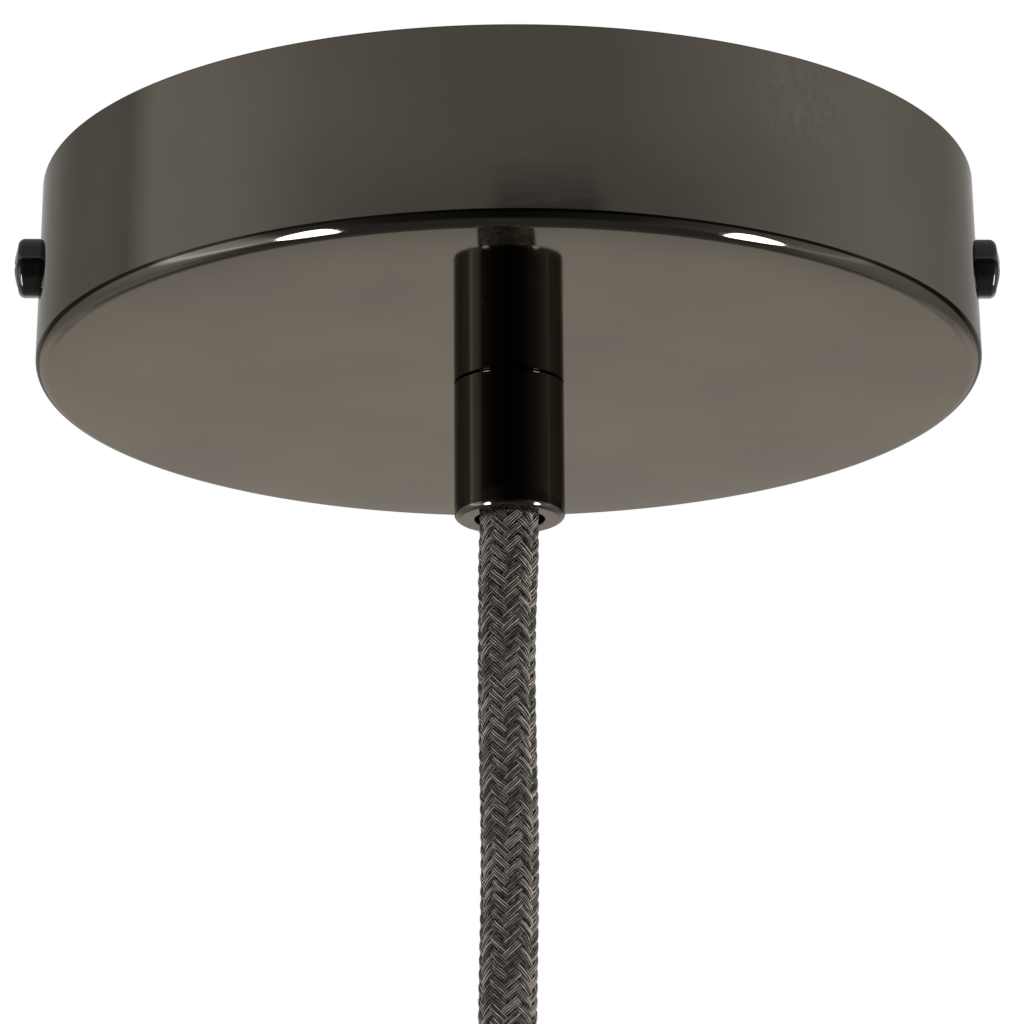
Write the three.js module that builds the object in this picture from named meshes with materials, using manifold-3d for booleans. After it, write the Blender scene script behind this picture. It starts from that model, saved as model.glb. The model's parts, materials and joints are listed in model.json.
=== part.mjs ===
// Ceiling canopy: a shallow metal cup held by side screws on a folded bracket, with a cord grip in
// its middle, a terminal block behind it and a textile-covered cord hanging from the grip.
// Millimetres, +Z up. The origin lies on the ceiling plane, on the canopy's axis.

import * as THREE from "three";
import { mergeVertices } from "three/addons/utils/BufferGeometryUtils.js";
import Module from "manifold-3d";

const wasm = await Module();
wasm.setup();

// Clearances
const SEAT_GAP = 0.05; // between faces that are clamped together
const THREAD_GAP = 0.15; // round a thread, whose turns are not modelled
const CORE_GAP = 0.3; // between the end of a soft piece and what it meets
const SLEEVE_GAP = 0.2; // round the cord inside a sleeve or the collet

// Canopy cup
const CUP_RADIUS = 60; // outside, where the wall meets the lower edge
const CUP_TAPER = 0.5; // how much narrower the radius is at the ceiling rim
const CUP_DEPTH = 25;
const CUP_WALL = 0.8;
const CUP_EDGE_RADIUS = 1.8; // outside rounding between the wall and the disc
const DISC_FLAT_RADIUS = 46; // the disc is flat inside this radius and rolls up outside it
const DISC_CROWN = 0.15; // how far its flat middle stands out beyond its edge

// Sides of the turned forms, from the largest to the smallest
const CUP_SEGMENTS = 84;
const GRIP_SEGMENTS = 40;
const THREAD_SEGMENTS = 28;
const TUBE_SEGMENTS = 16;
const SCREW_SEGMENTS = 16;
const SMALL_SEGMENTS = 12;
const WIRE_SEGMENTS = 8;

// Side screws, M4
const SIDE_SCREW_Z = -9.5;
const SIDE_SCREW_RADIUS = 2;
const SIDE_SCREW_LENGTH = 8;
const SIDE_HEAD_RADIUS = 3.8;
const SIDE_HEAD_RIM = 1.9; // straight part of the head
const SIDE_HEAD_BEVEL = 0.55; // rounding between the straight part and the dome
const SIDE_HEAD_DOME = 0.65;
const SIDE_HEAD_TO_WALL = 0.3; // air under a head that is screwed up lightly
const SIDE_HOLE_CLEARANCE = 0.3;

// Ceiling bracket
const SHEET = 1.5;
const STRAP_WIDTH = 20;
const STRAP_CORNER = 6;
const STRAP_SHOULDER = 5; // from a side lug's face back to the strap's full width
const LUG_TO_WALL = 0.9; // air between a side lug and the inside of the cup
const SIDE_LUG_WIDTH = 14;
const FOLD_RADIUS = 2.5; // outside radius of the folds
const LUG_ROOT = 3; // how far a lug's own sheet runs back into the strap
const COLLAR_HEIGHT = 1.3; // plunged collar round a threaded hole
const COLLAR_WALL = 0.9;
const SLOT_WIDTH = 5.2;
const SLOT_LENGTH = 19;
const SLOT_CENTRE_X = 40.5;

// Cord grip, nipple, washer and nut
const GRIP_RADIUS = 7;
const GRIP_LENGTH = 17.85;
const GRIP_BOTTOM_ROUND = 0.8;
const GRIP_TOP_ROUND = 0.25;
const GRIP_MOUTH_RADIUS = 4.45;
const GRIP_MOUTH_LENGTH = 0.8;
const THREADED_DEPTH = 8.5;
const NIPPLE_RADIUS = 4.95;
const NIPPLE_BORE = 3.95;
const NIPPLE_ABOVE_NUT = 1.6;
const NIPPLE_IN_GRIP = 7.7;
const COLLET_LENGTH = 7;
const COLLET_SLIT = 0.8;
const COLLET_SOLID_RING = 1.6; // height of the unslit ring at its top
const WASHER_RADIUS = 9;
const WASHER_THICKNESS = 0.8;
const WASHER_TEETH = 10;
const WASHER_TOOTH = 1.5;
const NUT_FLATS = 14;
const NUT_HEIGHT = 3;

// Terminal block
const BLOCK_X = -19.5;
const POLE_PITCH = 9;
const POLE_Z = -8;
const POLE_END = 4; // from a clamp screw to the open end of its pole
const POLE_TUBE_RADIUS = 2.9;
const BARREL_RADIUS = 2.2;
const BARREL_BORE = 1.6;
const BARREL_END = 2; // from a clamp screw to the end of its barrel
const TURRET_SPACING = 9;
const TURRET_RADIUS = 2.7;
const TURRET_BORE = 2.05;
const TURRET_Z = -14.6;
const POST_RADIUS = 2.3;
const POST_Z = -11.2;
const WEB_LENGTH = 10;
const WEB_THICKNESS = 3;
const CLAMP_SHANK_RADIUS = 1.45;
const CLAMP_HEAD_RADIUS = 1.9;
const CLAMP_HEAD_HEIGHT = 1.5;
const CLAMP_LENGTH = 3.5;
const BLOCK_SCREW_RADIUS = 1.25;
const BLOCK_HEAD_RADIUS = 2.2;
const BLOCK_HEAD_HEIGHT = 1.6;

// Earth lug and its fittings, M4
const EARTH_X = 21;
const EARTH_LUG_REACH = 2; // from the strap's edge to the outer face of the lug
const EARTH_Z = -8.5;
const EARTH_LUG_WIDTH = 10;
const EARTH_SCREW_LENGTH = 8;
const EARTH_HEAD_RADIUS = 3.9;
const EARTH_HEAD_HEIGHT = 2.4;
const EARTH_WASHER_THICKNESS = 0.6;
const RING_RADIUS = 3.8;
const RING_THICKNESS = 0.8;
const CRIMP_LENGTH = 5;
const CRIMP_RADIUS = 1.7;
const CRIMP_REACH = 11; // from the screw to the open end of the crimp

// Cord and cores
const CORD_RADIUS = 3.6;
const CORD_SIDES = 12;
const CORD_STEPS = 6;
const SLEEVE_WALL = 0.4;
const TOP_SLEEVE_HEIGHT = 4.2;
const END_SLEEVE_HEIGHT = 6.4;
const END_SLEEVE_OVERLAP = 2.4; // how much of the cord the lower sleeve covers
const CORE_RADIUS = 1;
const CORE_RING = 1.2; // distance of each core from the cord's axis
const CORE_SIDES = 8;
const CORE_STEPS = 9;
const PAIR_OFFSET = 1.05; // two cores side by side in one mouth
const FERRULE_RADIUS = 0.8;
const PAIR_FERRULE_RADIUS = 0.7;
const PAIR_FERRULE_OFFSET = 0.8;
const FERRULE_LENGTH = 6.5;
const TAIL_LENGTH = 24;
const TAIL_SPREAD = 3.6;
const CONDUCTOR_RADIUS = 0.5;
const CONDUCTOR_LENGTH = 7;

// The cord's centreline, from its upper end above the nipple to its lower end
const CORD_ROUTE = [
  [0, 0, -16.6],
  [0, 0, -25],
  [0, 0, -35],
  [-0.08, 0, -43],
  [-0.25, 0, -50],
  [-0.46, 0, -58],
  [-0.52, 0, -66],
  [-0.4, 0, -75],
  [-0.28, 0, -85],
  [-0.38, 0, -94],
  [-0.58, 0, -102],
  [-0.7, 0, -108],
  [-0.76, 0, -112],
];

// Finishes
const finish = (color, metalness, roughness) => () =>
  new THREE.MeshStandardMaterial({ color, metalness, roughness });
const blackPearl = finish(0x6f665b, 1, 0.08);
const blackLacquer = finish(0x1c1c1a, 0, 0.2);
const zinc = finish(0xb9bcbf, 1, 0.35);
const brass = finish(0xb79a56, 1, 0.3);
const tin = finish(0xcfd0cd, 1, 0.3);
const copper = finish(0xb8704a, 1, 0.35);
const nylon = finish(0xe8e6df, 0, 0.45);
const shrinkSleeve = finish(0x141414, 0, 0.5);
const textile = finish(0x4d4944, 0, 0.8);
const brownCore = finish(0x5b3a24, 0, 0.4);
const blueCore = finish(0x2b5c9e, 0, 0.4);
const earthCore = finish(0x6c9a2f, 0, 0.4);

// Solids
function toManifold(geometry) {
  const bare = new THREE.BufferGeometry();
  bare.setAttribute("position", geometry.getAttribute("position"));
  bare.setIndex(geometry.getIndex());
  const merged = mergeVertices(bare);
  const corners = merged.getIndex().array;
  const triangles = [];
  for (let i = 0; i < corners.length; i += 3) {
    const [a, b, c] = corners.slice(i, i + 3);
    if (a !== b && b !== c && c !== a) triangles.push(a, b, c);
  }
  return new wasm.Manifold(
    new wasm.Mesh({
      numProp: 3,
      vertProperties: Float32Array.from(merged.getAttribute("position").array),
      triVerts: Uint32Array.from(triangles),
    }),
  );
}

function toGeometry(manifold) {
  const mesh = manifold.getMesh();
  const geometry = new THREE.BufferGeometry();
  geometry.setAttribute("position", new THREE.BufferAttribute(Float32Array.from(mesh.vertProperties), 3));
  geometry.setIndex(Array.from(mesh.triVerts));
  geometry.computeVertexNormals();
  return geometry;
}

function combine(method, [first, ...others]) {
  let result = toManifold(first);
  for (const other of others) result = result[method](toManifold(other));
  return toGeometry(result);
}

const cut = (...geometries) => combine("subtract", geometries);
const join = (...geometries) => combine("add", geometries);
const common = (...geometries) => combine("intersect", geometries);

// Shapes
/** Points on an arc in the radius and height plane, angles in degrees. */
function arc(r, z, radius, from, to, steps) {
  return Array.from({ length: steps + 1 }, (_, i) => {
    const angle = THREE.MathUtils.degToRad(from + ((to - from) * i) / steps);
    return [r + radius * Math.cos(angle), z + radius * Math.sin(angle)];
  });
}

/** A turned solid about Z from [radius, height] points. */
function turned(points, segments) {
  const geometry = new THREE.LatheGeometry(
    points.map(([r, z]) => new THREE.Vector2(r, z)),
    segments,
  );
  return geometry.rotateX(Math.PI / 2);
}

/** A turned ring, whose profile closes on itself. */
const turnedRing = (points, segments) => turned([...points, points[0]], segments);

/** A straight tube or ring about Z. */
const tube = (outer, inner, low, high, segments) =>
  turnedRing([[inner, low], [outer, low], [outer, high], [inner, high]], segments);

/** A rod about Z. */
const rod = (radius, low, high, segments) =>
  turned([[0, low], [radius, low], [radius, high], [0, high]], segments);

const alongX = (geometry) => geometry.rotateY(Math.PI / 2);
const alongY = (geometry) => geometry.rotateX(-Math.PI / 2);

/** A flat blank: the outline is drawn in X and Y and the sheet runs from low to high in Z. */
function blank(shape, low, high, curveSegments = 10) {
  const options = { depth: high - low, bevelEnabled: false, curveSegments };
  return new THREE.ExtrudeGeometry(shape, options).translate(0, 0, low);
}

function box(x0, x1, y0, y1, z0, z1) {
  const geometry = new THREE.BoxGeometry(x1 - x0, y1 - y0, z1 - z0);
  return geometry.translate((x0 + x1) / 2, (y0 + y1) / 2, (z0 + z1) / 2);
}

function polygon(points) {
  return new THREE.Shape(points.map(([x, y]) => new THREE.Vector2(x, y)));
}

/** A slot with round ends along X. */
function stadium(centreX, length, width) {
  const radius = width / 2;
  const reach = length / 2 - radius;
  const shape = new THREE.Shape();
  shape.absarc(centreX + reach, 0, radius, -Math.PI / 2, Math.PI / 2, false);
  shape.absarc(centreX - reach, 0, radius, Math.PI / 2, (3 * Math.PI) / 2, false);
  return shape;
}

function roundedRectangle(halfX, halfY, radius) {
  const shape = new THREE.Shape();
  const [x, y] = [halfX - radius, halfY - radius];
  shape.absarc(x, y, radius, 0, Math.PI / 2, false);
  shape.absarc(-x, y, radius, Math.PI / 2, Math.PI, false);
  shape.absarc(-x, -y, radius, Math.PI, (3 * Math.PI) / 2, false);
  shape.absarc(x, -y, radius, (3 * Math.PI) / 2, 2 * Math.PI, false);
  return shape;
}

/** A round tube of constant radius along a curve. */
function along(curve, radius, sides, steps) {
  const section = polygon(arc(0, 0, radius, 0, 360, sides).slice(0, sides));
  return new THREE.ExtrudeGeometry(section, { extrudePath: curve, steps, bevelEnabled: false });
}

// Canopy cup
const discRadius = CUP_RADIUS - CUP_EDGE_RADIUS;
const nippleHole = NIPPLE_RADIUS + THREAD_GAP * 2;
const sideHole = SIDE_SCREW_RADIUS + SIDE_HOLE_CLEARANCE;

/** Height of the disc's outer face at a radius. */
function discZ(radius) {
  const roll = Math.max(0, radius - DISC_FLAT_RADIUS) / (discRadius - DISC_FLAT_RADIUS);
  return -CUP_DEPTH - DISC_CROWN * (1 - roll ** 3);
}

/** Outside radius of the wall at a height. */
const edgeZ = -CUP_DEPTH + CUP_EDGE_RADIUS;
const wallRadius = (z) => THREE.MathUtils.mapLinear(z, edgeZ, 0, CUP_RADIUS, CUP_RADIUS - CUP_TAPER);

function canopyCup() {
  const crown = [nippleHole, DISC_FLAT_RADIUS, (DISC_FLAT_RADIUS + discRadius) / 2];
  const shell = turnedRing(
    [
      ...crown.map((r) => [r, discZ(r)]),
      ...arc(discRadius, edgeZ, CUP_EDGE_RADIUS, -90, 0, 5),
      [wallRadius(0), 0],
      [wallRadius(0) - CUP_WALL, 0],
      ...arc(discRadius, edgeZ, CUP_EDGE_RADIUS - CUP_WALL, 0, -90, 3),
      ...crown.toReversed().map((r) => [r, discZ(r) + CUP_WALL]),
    ],
    CUP_SEGMENTS,
  );
  const drill = alongX(rod(sideHole, -CUP_RADIUS - 1, CUP_RADIUS + 1, SCREW_SEGMENTS));
  return cut(shell, drill.translate(0, 0, SIDE_SCREW_Z));
}

// Ceiling bracket
const sideLugX = wallRadius(SIDE_SCREW_Z) - CUP_WALL - LUG_TO_WALL;
const earthY = STRAP_WIDTH / 2 + EARTH_LUG_REACH;
const sideThread = SIDE_SCREW_RADIUS + THREAD_GAP;
const blockHole = BLOCK_SCREW_RADIUS + THREAD_GAP;

/** A lug folded down at the strap's edge. Its outer face lies at x = 0 and faces +X. */
function foldedLug(width, holeZ, reach) {
  const fold = new THREE.Shape();
  const foot = holeZ - width / 2;
  const root = -reach - LUG_ROOT;
  fold.moveTo(root, 0);
  fold.lineTo(root, -SHEET);
  fold.absarc(-FOLD_RADIUS, -FOLD_RADIUS, FOLD_RADIUS - SHEET, Math.PI / 2, 0, true);
  fold.lineTo(-SHEET, foot);
  fold.lineTo(0, foot);
  fold.absarc(-FOLD_RADIUS, -FOLD_RADIUS, FOLD_RADIUS, 0, Math.PI / 2, false);
  const strip = blank(fold, -width / 2, width / 2, 4).rotateX(Math.PI / 2);

  const face = new THREE.Shape();
  face.moveTo(width / 2, 1);
  face.lineTo(-width / 2, 1);
  face.absarc(0, holeZ, width / 2, Math.PI, 2 * Math.PI, false);
  const outline = blank(face, root - 1, 1, 12).rotateX(Math.PI / 2).rotateZ(Math.PI / 2);

  const collarRadius = sideThread + COLLAR_WALL;
  const collarEnd = -SHEET - COLLAR_HEIGHT;
  const collar = alongX(rod(collarRadius, collarEnd, -SHEET / 2, TUBE_SEGMENTS)).translate(0, 0, holeZ);
  const bore = alongX(rod(sideThread, collarEnd - 1, 1, SCREW_SEGMENTS)).translate(0, 0, holeZ);
  return cut(join(common(strip, outline), collar), bore);
}

function ceilingBracket() {
  const halfLength = sideLugX - STRAP_SHOULDER;
  const strap = blank(roundedRectangle(halfLength, STRAP_WIDTH / 2, STRAP_CORNER), -SHEET, 0, 6);
  const lugs = [0, Math.PI].map((turn) =>
    foldedLug(SIDE_LUG_WIDTH, SIDE_SCREW_Z, STRAP_SHOULDER).translate(sideLugX, 0, 0).rotateZ(turn),
  );
  const earthLug = foldedLug(EARTH_LUG_WIDTH, EARTH_Z, EARTH_LUG_REACH);
  earthLug.rotateZ(Math.PI / 2).translate(EARTH_X, earthY, 0);
  const slots = [-SLOT_CENTRE_X, SLOT_CENTRE_X].map((x) =>
    blank(stadium(x, SLOT_LENGTH, SLOT_WIDTH), -SHEET - 1, 1, 8),
  );
  const taps = blockScrewY.map((y) =>
    rod(blockHole, -SHEET - 1, 1, SMALL_SEGMENTS).translate(BLOCK_X, y, 0),
  );
  return cut(join(strap, ...lugs, earthLug), ...slots, ...taps);
}

// Screws
/** A slot or cross for a driver, cut into the top of a head. */
function driverCross(length, width, depth, top) {
  const [l, w] = [length / 2, width / 2];
  return join(box(-l, l, -w, w, top - depth, top + 1), box(-w, w, -l, l, top - depth, top + 1));
}

function driverSlot(length, width, depth, top) {
  return box(-length / 2, length / 2, -width / 2, width / 2, top - depth, top + 1);
}

/** A screw along Z: the head sits on z = 0 and the shank runs down. */
function screw({ shank, length, head, rim, bevel = 0, dome, drive, segments = SCREW_SEGMENTS }) {
  const chamfer = shank * 0.25;
  const crown = head - bevel;
  const cap = (crown ** 2 + dome ** 2) / (2 * dome);
  const edge = THREE.MathUtils.radToDeg(Math.asin(crown / cap));
  const shoulder = bevel > 0 ? arc(crown, rim, bevel, 0, 45, 1) : [];
  const profile = [
    [0, -length],
    [shank - chamfer, -length],
    [shank, -length + chamfer],
    [shank, 0],
    [head, 0],
    ...shoulder,
    ...arc(0, rim + bevel + dome - cap, cap, 90 - edge, 90, 3),
  ];
  profile[profile.length - 1][0] = 0;
  return cut(turned(profile, segments), drive);
}

const sideScrew = () =>
  screw({
    shank: SIDE_SCREW_RADIUS,
    length: SIDE_SCREW_LENGTH,
    head: SIDE_HEAD_RADIUS,
    rim: SIDE_HEAD_RIM,
    bevel: SIDE_HEAD_BEVEL,
    dome: SIDE_HEAD_DOME,
    drive: driverCross(SIDE_HEAD_RADIUS, 1, 1.6, SIDE_HEAD_RIM + SIDE_HEAD_BEVEL + SIDE_HEAD_DOME),
    segments: THREAD_SEGMENTS,
  });

const clampScrew = () =>
  screw({
    shank: CLAMP_SHANK_RADIUS,
    length: CLAMP_LENGTH,
    head: CLAMP_HEAD_RADIUS,
    rim: CLAMP_HEAD_HEIGHT - 0.2,
    dome: 0.2,
    drive: driverSlot(CLAMP_HEAD_RADIUS * 3, 0.6, 0.8, CLAMP_HEAD_HEIGHT),
    segments: SMALL_SEGMENTS,
  });

const blockScrew = () =>
  screw({
    shank: BLOCK_SCREW_RADIUS,
    length: -POST_Z + SEAT_GAP - SHEET / 4,
    head: BLOCK_HEAD_RADIUS,
    rim: BLOCK_HEAD_HEIGHT - 0.5,
    dome: 0.5,
    drive: driverCross(BLOCK_HEAD_RADIUS, 0.6, 0.9, BLOCK_HEAD_HEIGHT),
    segments: SMALL_SEGMENTS,
  });

const earthScrew = () =>
  screw({
    shank: SIDE_SCREW_RADIUS,
    length: EARTH_SCREW_LENGTH,
    head: EARTH_HEAD_RADIUS,
    rim: EARTH_HEAD_HEIGHT - 0.9,
    dome: 0.9,
    drive: driverCross(EARTH_HEAD_RADIUS, 0.9, 1.3, EARTH_HEAD_HEIGHT),
  });

// Cord grip and what clamps it
const gripTop = discZ(0) - SEAT_GAP;
const gripBottom = gripTop - GRIP_LENGTH;
const threadBore = NIPPLE_RADIUS + THREAD_GAP;
const coneTop = gripTop - THREADED_DEPTH;
const coneBottom = gripBottom + GRIP_MOUTH_LENGTH;
const washerLow = discZ(WASHER_RADIUS) + CUP_WALL + SEAT_GAP;
const nutLow = washerLow + WASHER_THICKNESS + SEAT_GAP;
const nippleHigh = nutLow + NUT_HEIGHT + NIPPLE_ABOVE_NUT;
const nippleLow = gripTop - NIPPLE_IN_GRIP;
const colletHigh = nippleLow - SEAT_GAP;
const colletLow = colletHigh - COLLET_LENGTH;

/** Radius of the grip's inner cone at a height. */
const coneRadius = (z) =>
  THREE.MathUtils.mapLinear(z, coneTop, coneBottom, threadBore, GRIP_MOUTH_RADIUS);

function cordGripBody() {
  const [low, high] = [GRIP_BOTTOM_ROUND, GRIP_TOP_ROUND];
  return turnedRing(
    [
      [GRIP_MOUTH_RADIUS, gripBottom],
      ...arc(GRIP_RADIUS - low, gripBottom + low, low, -90, 0, 4),
      ...arc(GRIP_RADIUS - high, gripTop - high, high, 0, 90, 1),
      [threadBore, gripTop],
      [threadBore, coneTop],
      [GRIP_MOUTH_RADIUS, coneBottom],
    ],
    GRIP_SEGMENTS,
  );
}

function cordGripCollet() {
  const bore = CORD_RADIUS + SLEEVE_GAP;
  const outside = (z) => Math.min(coneRadius(z), threadBore) - THREAD_GAP;
  const jaw = turnedRing(
    [
      [bore, colletLow],
      [outside(colletLow), colletLow],
      [outside(coneTop), coneTop],
      [outside(colletHigh), colletHigh],
      [bore, colletHigh],
    ],
    THREAD_SEGMENTS,
  );
  const slitTop = colletHigh - COLLET_SOLID_RING;
  const reach = GRIP_RADIUS;
  const half = COLLET_SLIT / 2;
  return cut(
    jaw,
    box(-reach, reach, -half, half, colletLow - 1, slitTop),
    box(-half, half, -reach, reach, colletLow - 1, slitTop),
  );
}

const threadedNipple = () => {
  const chamfer = 0.4;
  return turnedRing(
    [
      [NIPPLE_BORE, nippleLow],
      [NIPPLE_RADIUS - chamfer, nippleLow],
      [NIPPLE_RADIUS, nippleLow + chamfer],
      [NIPPLE_RADIUS, nippleHigh - chamfer],
      [NIPPLE_RADIUS - chamfer, nippleHigh],
      [NIPPLE_BORE, nippleHigh],
    ],
    THREAD_SEGMENTS,
  );
};

/** A washer about Z with teeth round its hole. */
function toothedWasher(outer, hole, tooth, teeth, thickness) {
  const shape = new THREE.Shape();
  shape.absarc(0, 0, outer, 0, 2 * Math.PI, false);
  const pitch = (2 * Math.PI) / teeth;
  const corners = [];
  for (let i = 0; i < teeth; i++) {
    const steps = [[0, hole], [0.3, hole], [0.45, hole + tooth], [0.85, hole + tooth]];
    for (const [share, radius] of steps) {
      const angle = (i + share) * pitch;
      corners.push(new THREE.Vector2(radius * Math.cos(angle), radius * Math.sin(angle)));
    }
  }
  shape.holes.push(new THREE.Path(corners.reverse()));
  return blank(shape, 0, thickness, SCREW_SEGMENTS);
}

function lockNut() {
  const corner = NUT_FLATS / Math.sqrt(3);
  const flat = NUT_FLATS / 2;
  const hexagon = polygon(arc(0, 0, corner, 0, 300, 5));
  const slope = (corner - flat) * Math.tan(Math.PI / 6);
  const chamfered = turned(
    [[0, 0], [flat, 0], [corner, slope], [corner, NUT_HEIGHT - slope], [flat, NUT_HEIGHT], [0, NUT_HEIGHT]],
    24,
  );
  const bore = rod(threadBore, -1, NUT_HEIGHT + 1, THREAD_SEGMENTS);
  return cut(common(blank(hexagon, 0, NUT_HEIGHT), chamfered), bore);
}

// Terminal block
const poleY = { live: -POLE_PITCH, neutral: 0, earth: POLE_PITCH };
const blockScrewY = [-POLE_PITCH / 2, POLE_PITCH / 2];
const blockTop = -SHEET - SEAT_GAP;
const poleLength = TURRET_SPACING + 2 * POLE_END;
const mouthX = BLOCK_X + poleLength / 2;
const turretX = [BLOCK_X - TURRET_SPACING / 2, BLOCK_X + TURRET_SPACING / 2];

function terminalBlockHousing() {
  const half = poleLength / 2;
  const solids = [];
  const hollows = [];
  for (const y of Object.values(poleY)) {
    const width = POLE_TUBE_RADIUS * 0.8;
    solids.push(box(BLOCK_X - half, BLOCK_X + half, y - width, y + width, POLE_Z, blockTop));
    solids.push(alongX(rod(POLE_TUBE_RADIUS, -half, half, TUBE_SEGMENTS)).translate(BLOCK_X, y, POLE_Z));
    const pocket = alongX(rod(BARREL_RADIUS + THREAD_GAP, -half - 1, half + 1, TUBE_SEGMENTS));
    hollows.push(pocket.translate(BLOCK_X, y, POLE_Z));
    for (const x of turretX) {
      solids.push(rod(TURRET_RADIUS, TURRET_Z, POLE_Z, TUBE_SEGMENTS).translate(x, y, 0));
      hollows.push(rod(TURRET_BORE, TURRET_Z - 1, POLE_Z, SMALL_SEGMENTS).translate(x, y, 0));
    }
  }
  const web = WEB_LENGTH / 2;
  solids.push(box(BLOCK_X - web, BLOCK_X + web, -POLE_PITCH, POLE_PITCH, blockTop - WEB_THICKNESS, blockTop));
  for (const y of blockScrewY) {
    solids.push(rod(POST_RADIUS, POST_Z, blockTop, SMALL_SEGMENTS).translate(BLOCK_X, y, 0));
    hollows.push(rod(blockHole, POST_Z - 1, 0, SMALL_SEGMENTS).translate(BLOCK_X, y, 0));
  }
  return cut(join(...solids), ...hollows);
}

/** A brass barrel along X, open at both ends, with a threaded hole for each clamp screw. */
function terminalBarrel() {
  const half = TURRET_SPACING / 2 + BARREL_END;
  const barrel = alongX(tube(BARREL_RADIUS, BARREL_BORE, -half, half, TUBE_SEGMENTS));
  const thread = CLAMP_SHANK_RADIUS + THREAD_GAP / 2;
  const holes = turretX.map((x) =>
    rod(thread, -BARREL_RADIUS - 1, 0, SMALL_SEGMENTS).translate(x - BLOCK_X, 0, 0),
  );
  return cut(barrel, ...holes);
}

// Earth terminal
const ringLow = earthY + EARTH_WASHER_THICKNESS + 2 * SEAT_GAP;
const ringMiddle = ringLow + RING_THICKNESS / 2;

/** A ring terminal: the ring faces Y and its crimp opens towards -X. */
function earthRingTerminal() {
  const neck = CRIMP_RADIUS;
  const crimpStart = CRIMP_REACH - CRIMP_LENGTH;
  const floor = 0.8; // closed end of the crimp
  const neckAngle = Math.asin(neck / RING_RADIUS);
  const outline = new THREE.Shape();
  outline.absarc(0, 0, RING_RADIUS, Math.PI + neckAngle, 3 * Math.PI - neckAngle, false);
  outline.lineTo(-crimpStart - floor, neck);
  outline.lineTo(-crimpStart - floor, -neck);
  const eye = new THREE.Path();
  eye.absarc(0, 0, sideThread, 0, 2 * Math.PI, true);
  outline.holes.push(eye);
  const plate = blank(outline, -RING_THICKNESS / 2, RING_THICKNESS / 2, WIRE_SEGMENTS).rotateX(Math.PI / 2);
  const sleeve = alongX(rod(CRIMP_RADIUS, -CRIMP_REACH, -crimpStart, SMALL_SEGMENTS));
  const bore = alongX(rod(CORE_RADIUS + THREAD_GAP, -CRIMP_REACH - 1, -crimpStart - floor, SMALL_SEGMENTS));
  return cut(join(plate, sleeve), bore);
}

// Cord and cores
const vector = ([x, y, z]) => new THREE.Vector3(x, y, z);
const cordTop = CORD_ROUTE[0][2];
const cordEnd = CORD_ROUTE.at(-1);
const coreAngle = { live: -75, neutral: 165, earth: 45 };
const mouthOffset = { live: 0, neutral: 0, earth: -PAIR_OFFSET };
const ferruleOffset = { live: 0, neutral: 0, earth: -PAIR_FERRULE_OFFSET };
const coreEndX = mouthX - CORE_GAP;

/** Place of a core round a cord axis at (x, y). */
function onCoreRing(name, x, y, z, ring = CORE_RING) {
  const angle = THREE.MathUtils.degToRad(coreAngle[name]);
  return new THREE.Vector3(x + ring * Math.cos(angle), y + ring * Math.sin(angle), z);
}

const pendantCord = () =>
  along(new THREE.CatmullRomCurve3(CORD_ROUTE.map(vector)), CORD_RADIUS, CORD_SIDES, CORD_STEPS);

/** A core rises out of the cord and turns into its pole's mouth. */
function innerCore(name) {
  const start = onCoreRing(name, 0, 0, cordTop + CORE_GAP);
  const end = new THREE.Vector3(coreEndX, poleY[name] + mouthOffset[name], POLE_Z);
  const rise = new THREE.Vector3(0, 0, end.z - start.z);
  const lead = new THREE.Vector3((start.x - end.x) * 0.56, 0, 0);
  const curve = new THREE.CubicBezierCurve3(start, start.clone().add(rise), end.clone().add(lead), end);
  return along(curve, CORE_RADIUS, CORE_SIDES, CORE_STEPS);
}

/** A straight run from the earth pole's mouth, in a shallow S, into the ring terminal's crimp. */
function earthLinkWire() {
  const start = new THREE.Vector3(coreEndX, poleY.earth + PAIR_OFFSET, POLE_Z);
  const end = new THREE.Vector3(EARTH_X - CRIMP_REACH + 2, ringMiddle, EARTH_Z);
  const lead = new THREE.Vector3((end.x - start.x) * 0.4, 0, 0);
  const curve = new THREE.CubicBezierCurve3(start, start.clone().add(lead), end.clone().sub(lead), end);
  return along(curve, CORE_RADIUS, CORE_SIDES, CORE_STEPS);
}

/** A ferrule along -X from a core's end. */
const ferrule = (radius) => alongX(rod(radius, -FERRULE_LENGTH, 0, WIRE_SEGMENTS));

/** A tail leaves the cord's lower end and spreads a little. */
function tailCore(name) {
  const [x, y, z] = cordEnd;
  const start = onCoreRing(name, x, y, z - CORE_GAP);
  const end = onCoreRing(name, x, y, z - TAIL_LENGTH, TAIL_SPREAD);
  const lead = new THREE.Vector3(0, 0, TAIL_LENGTH * 0.45);
  const curve = new THREE.CubicBezierCurve3(start, start.clone().sub(lead), end.clone().add(lead), end);
  return along(curve, CORE_RADIUS, CORE_SIDES, CORE_STEPS);
}

// Assembly
const canopy = new THREE.Group();

function place(name, geometry, material, [x, y, z] = [0, 0, 0], [rx, ry, rz] = [0, 0, 0]) {
  const mesh = new THREE.Mesh(toGeometry(toManifold(geometry)), material());
  mesh.name = name;
  mesh.position.set(x, y, z);
  mesh.rotation.set(rx, ry, rz);
  canopy.add(mesh);
}

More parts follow.
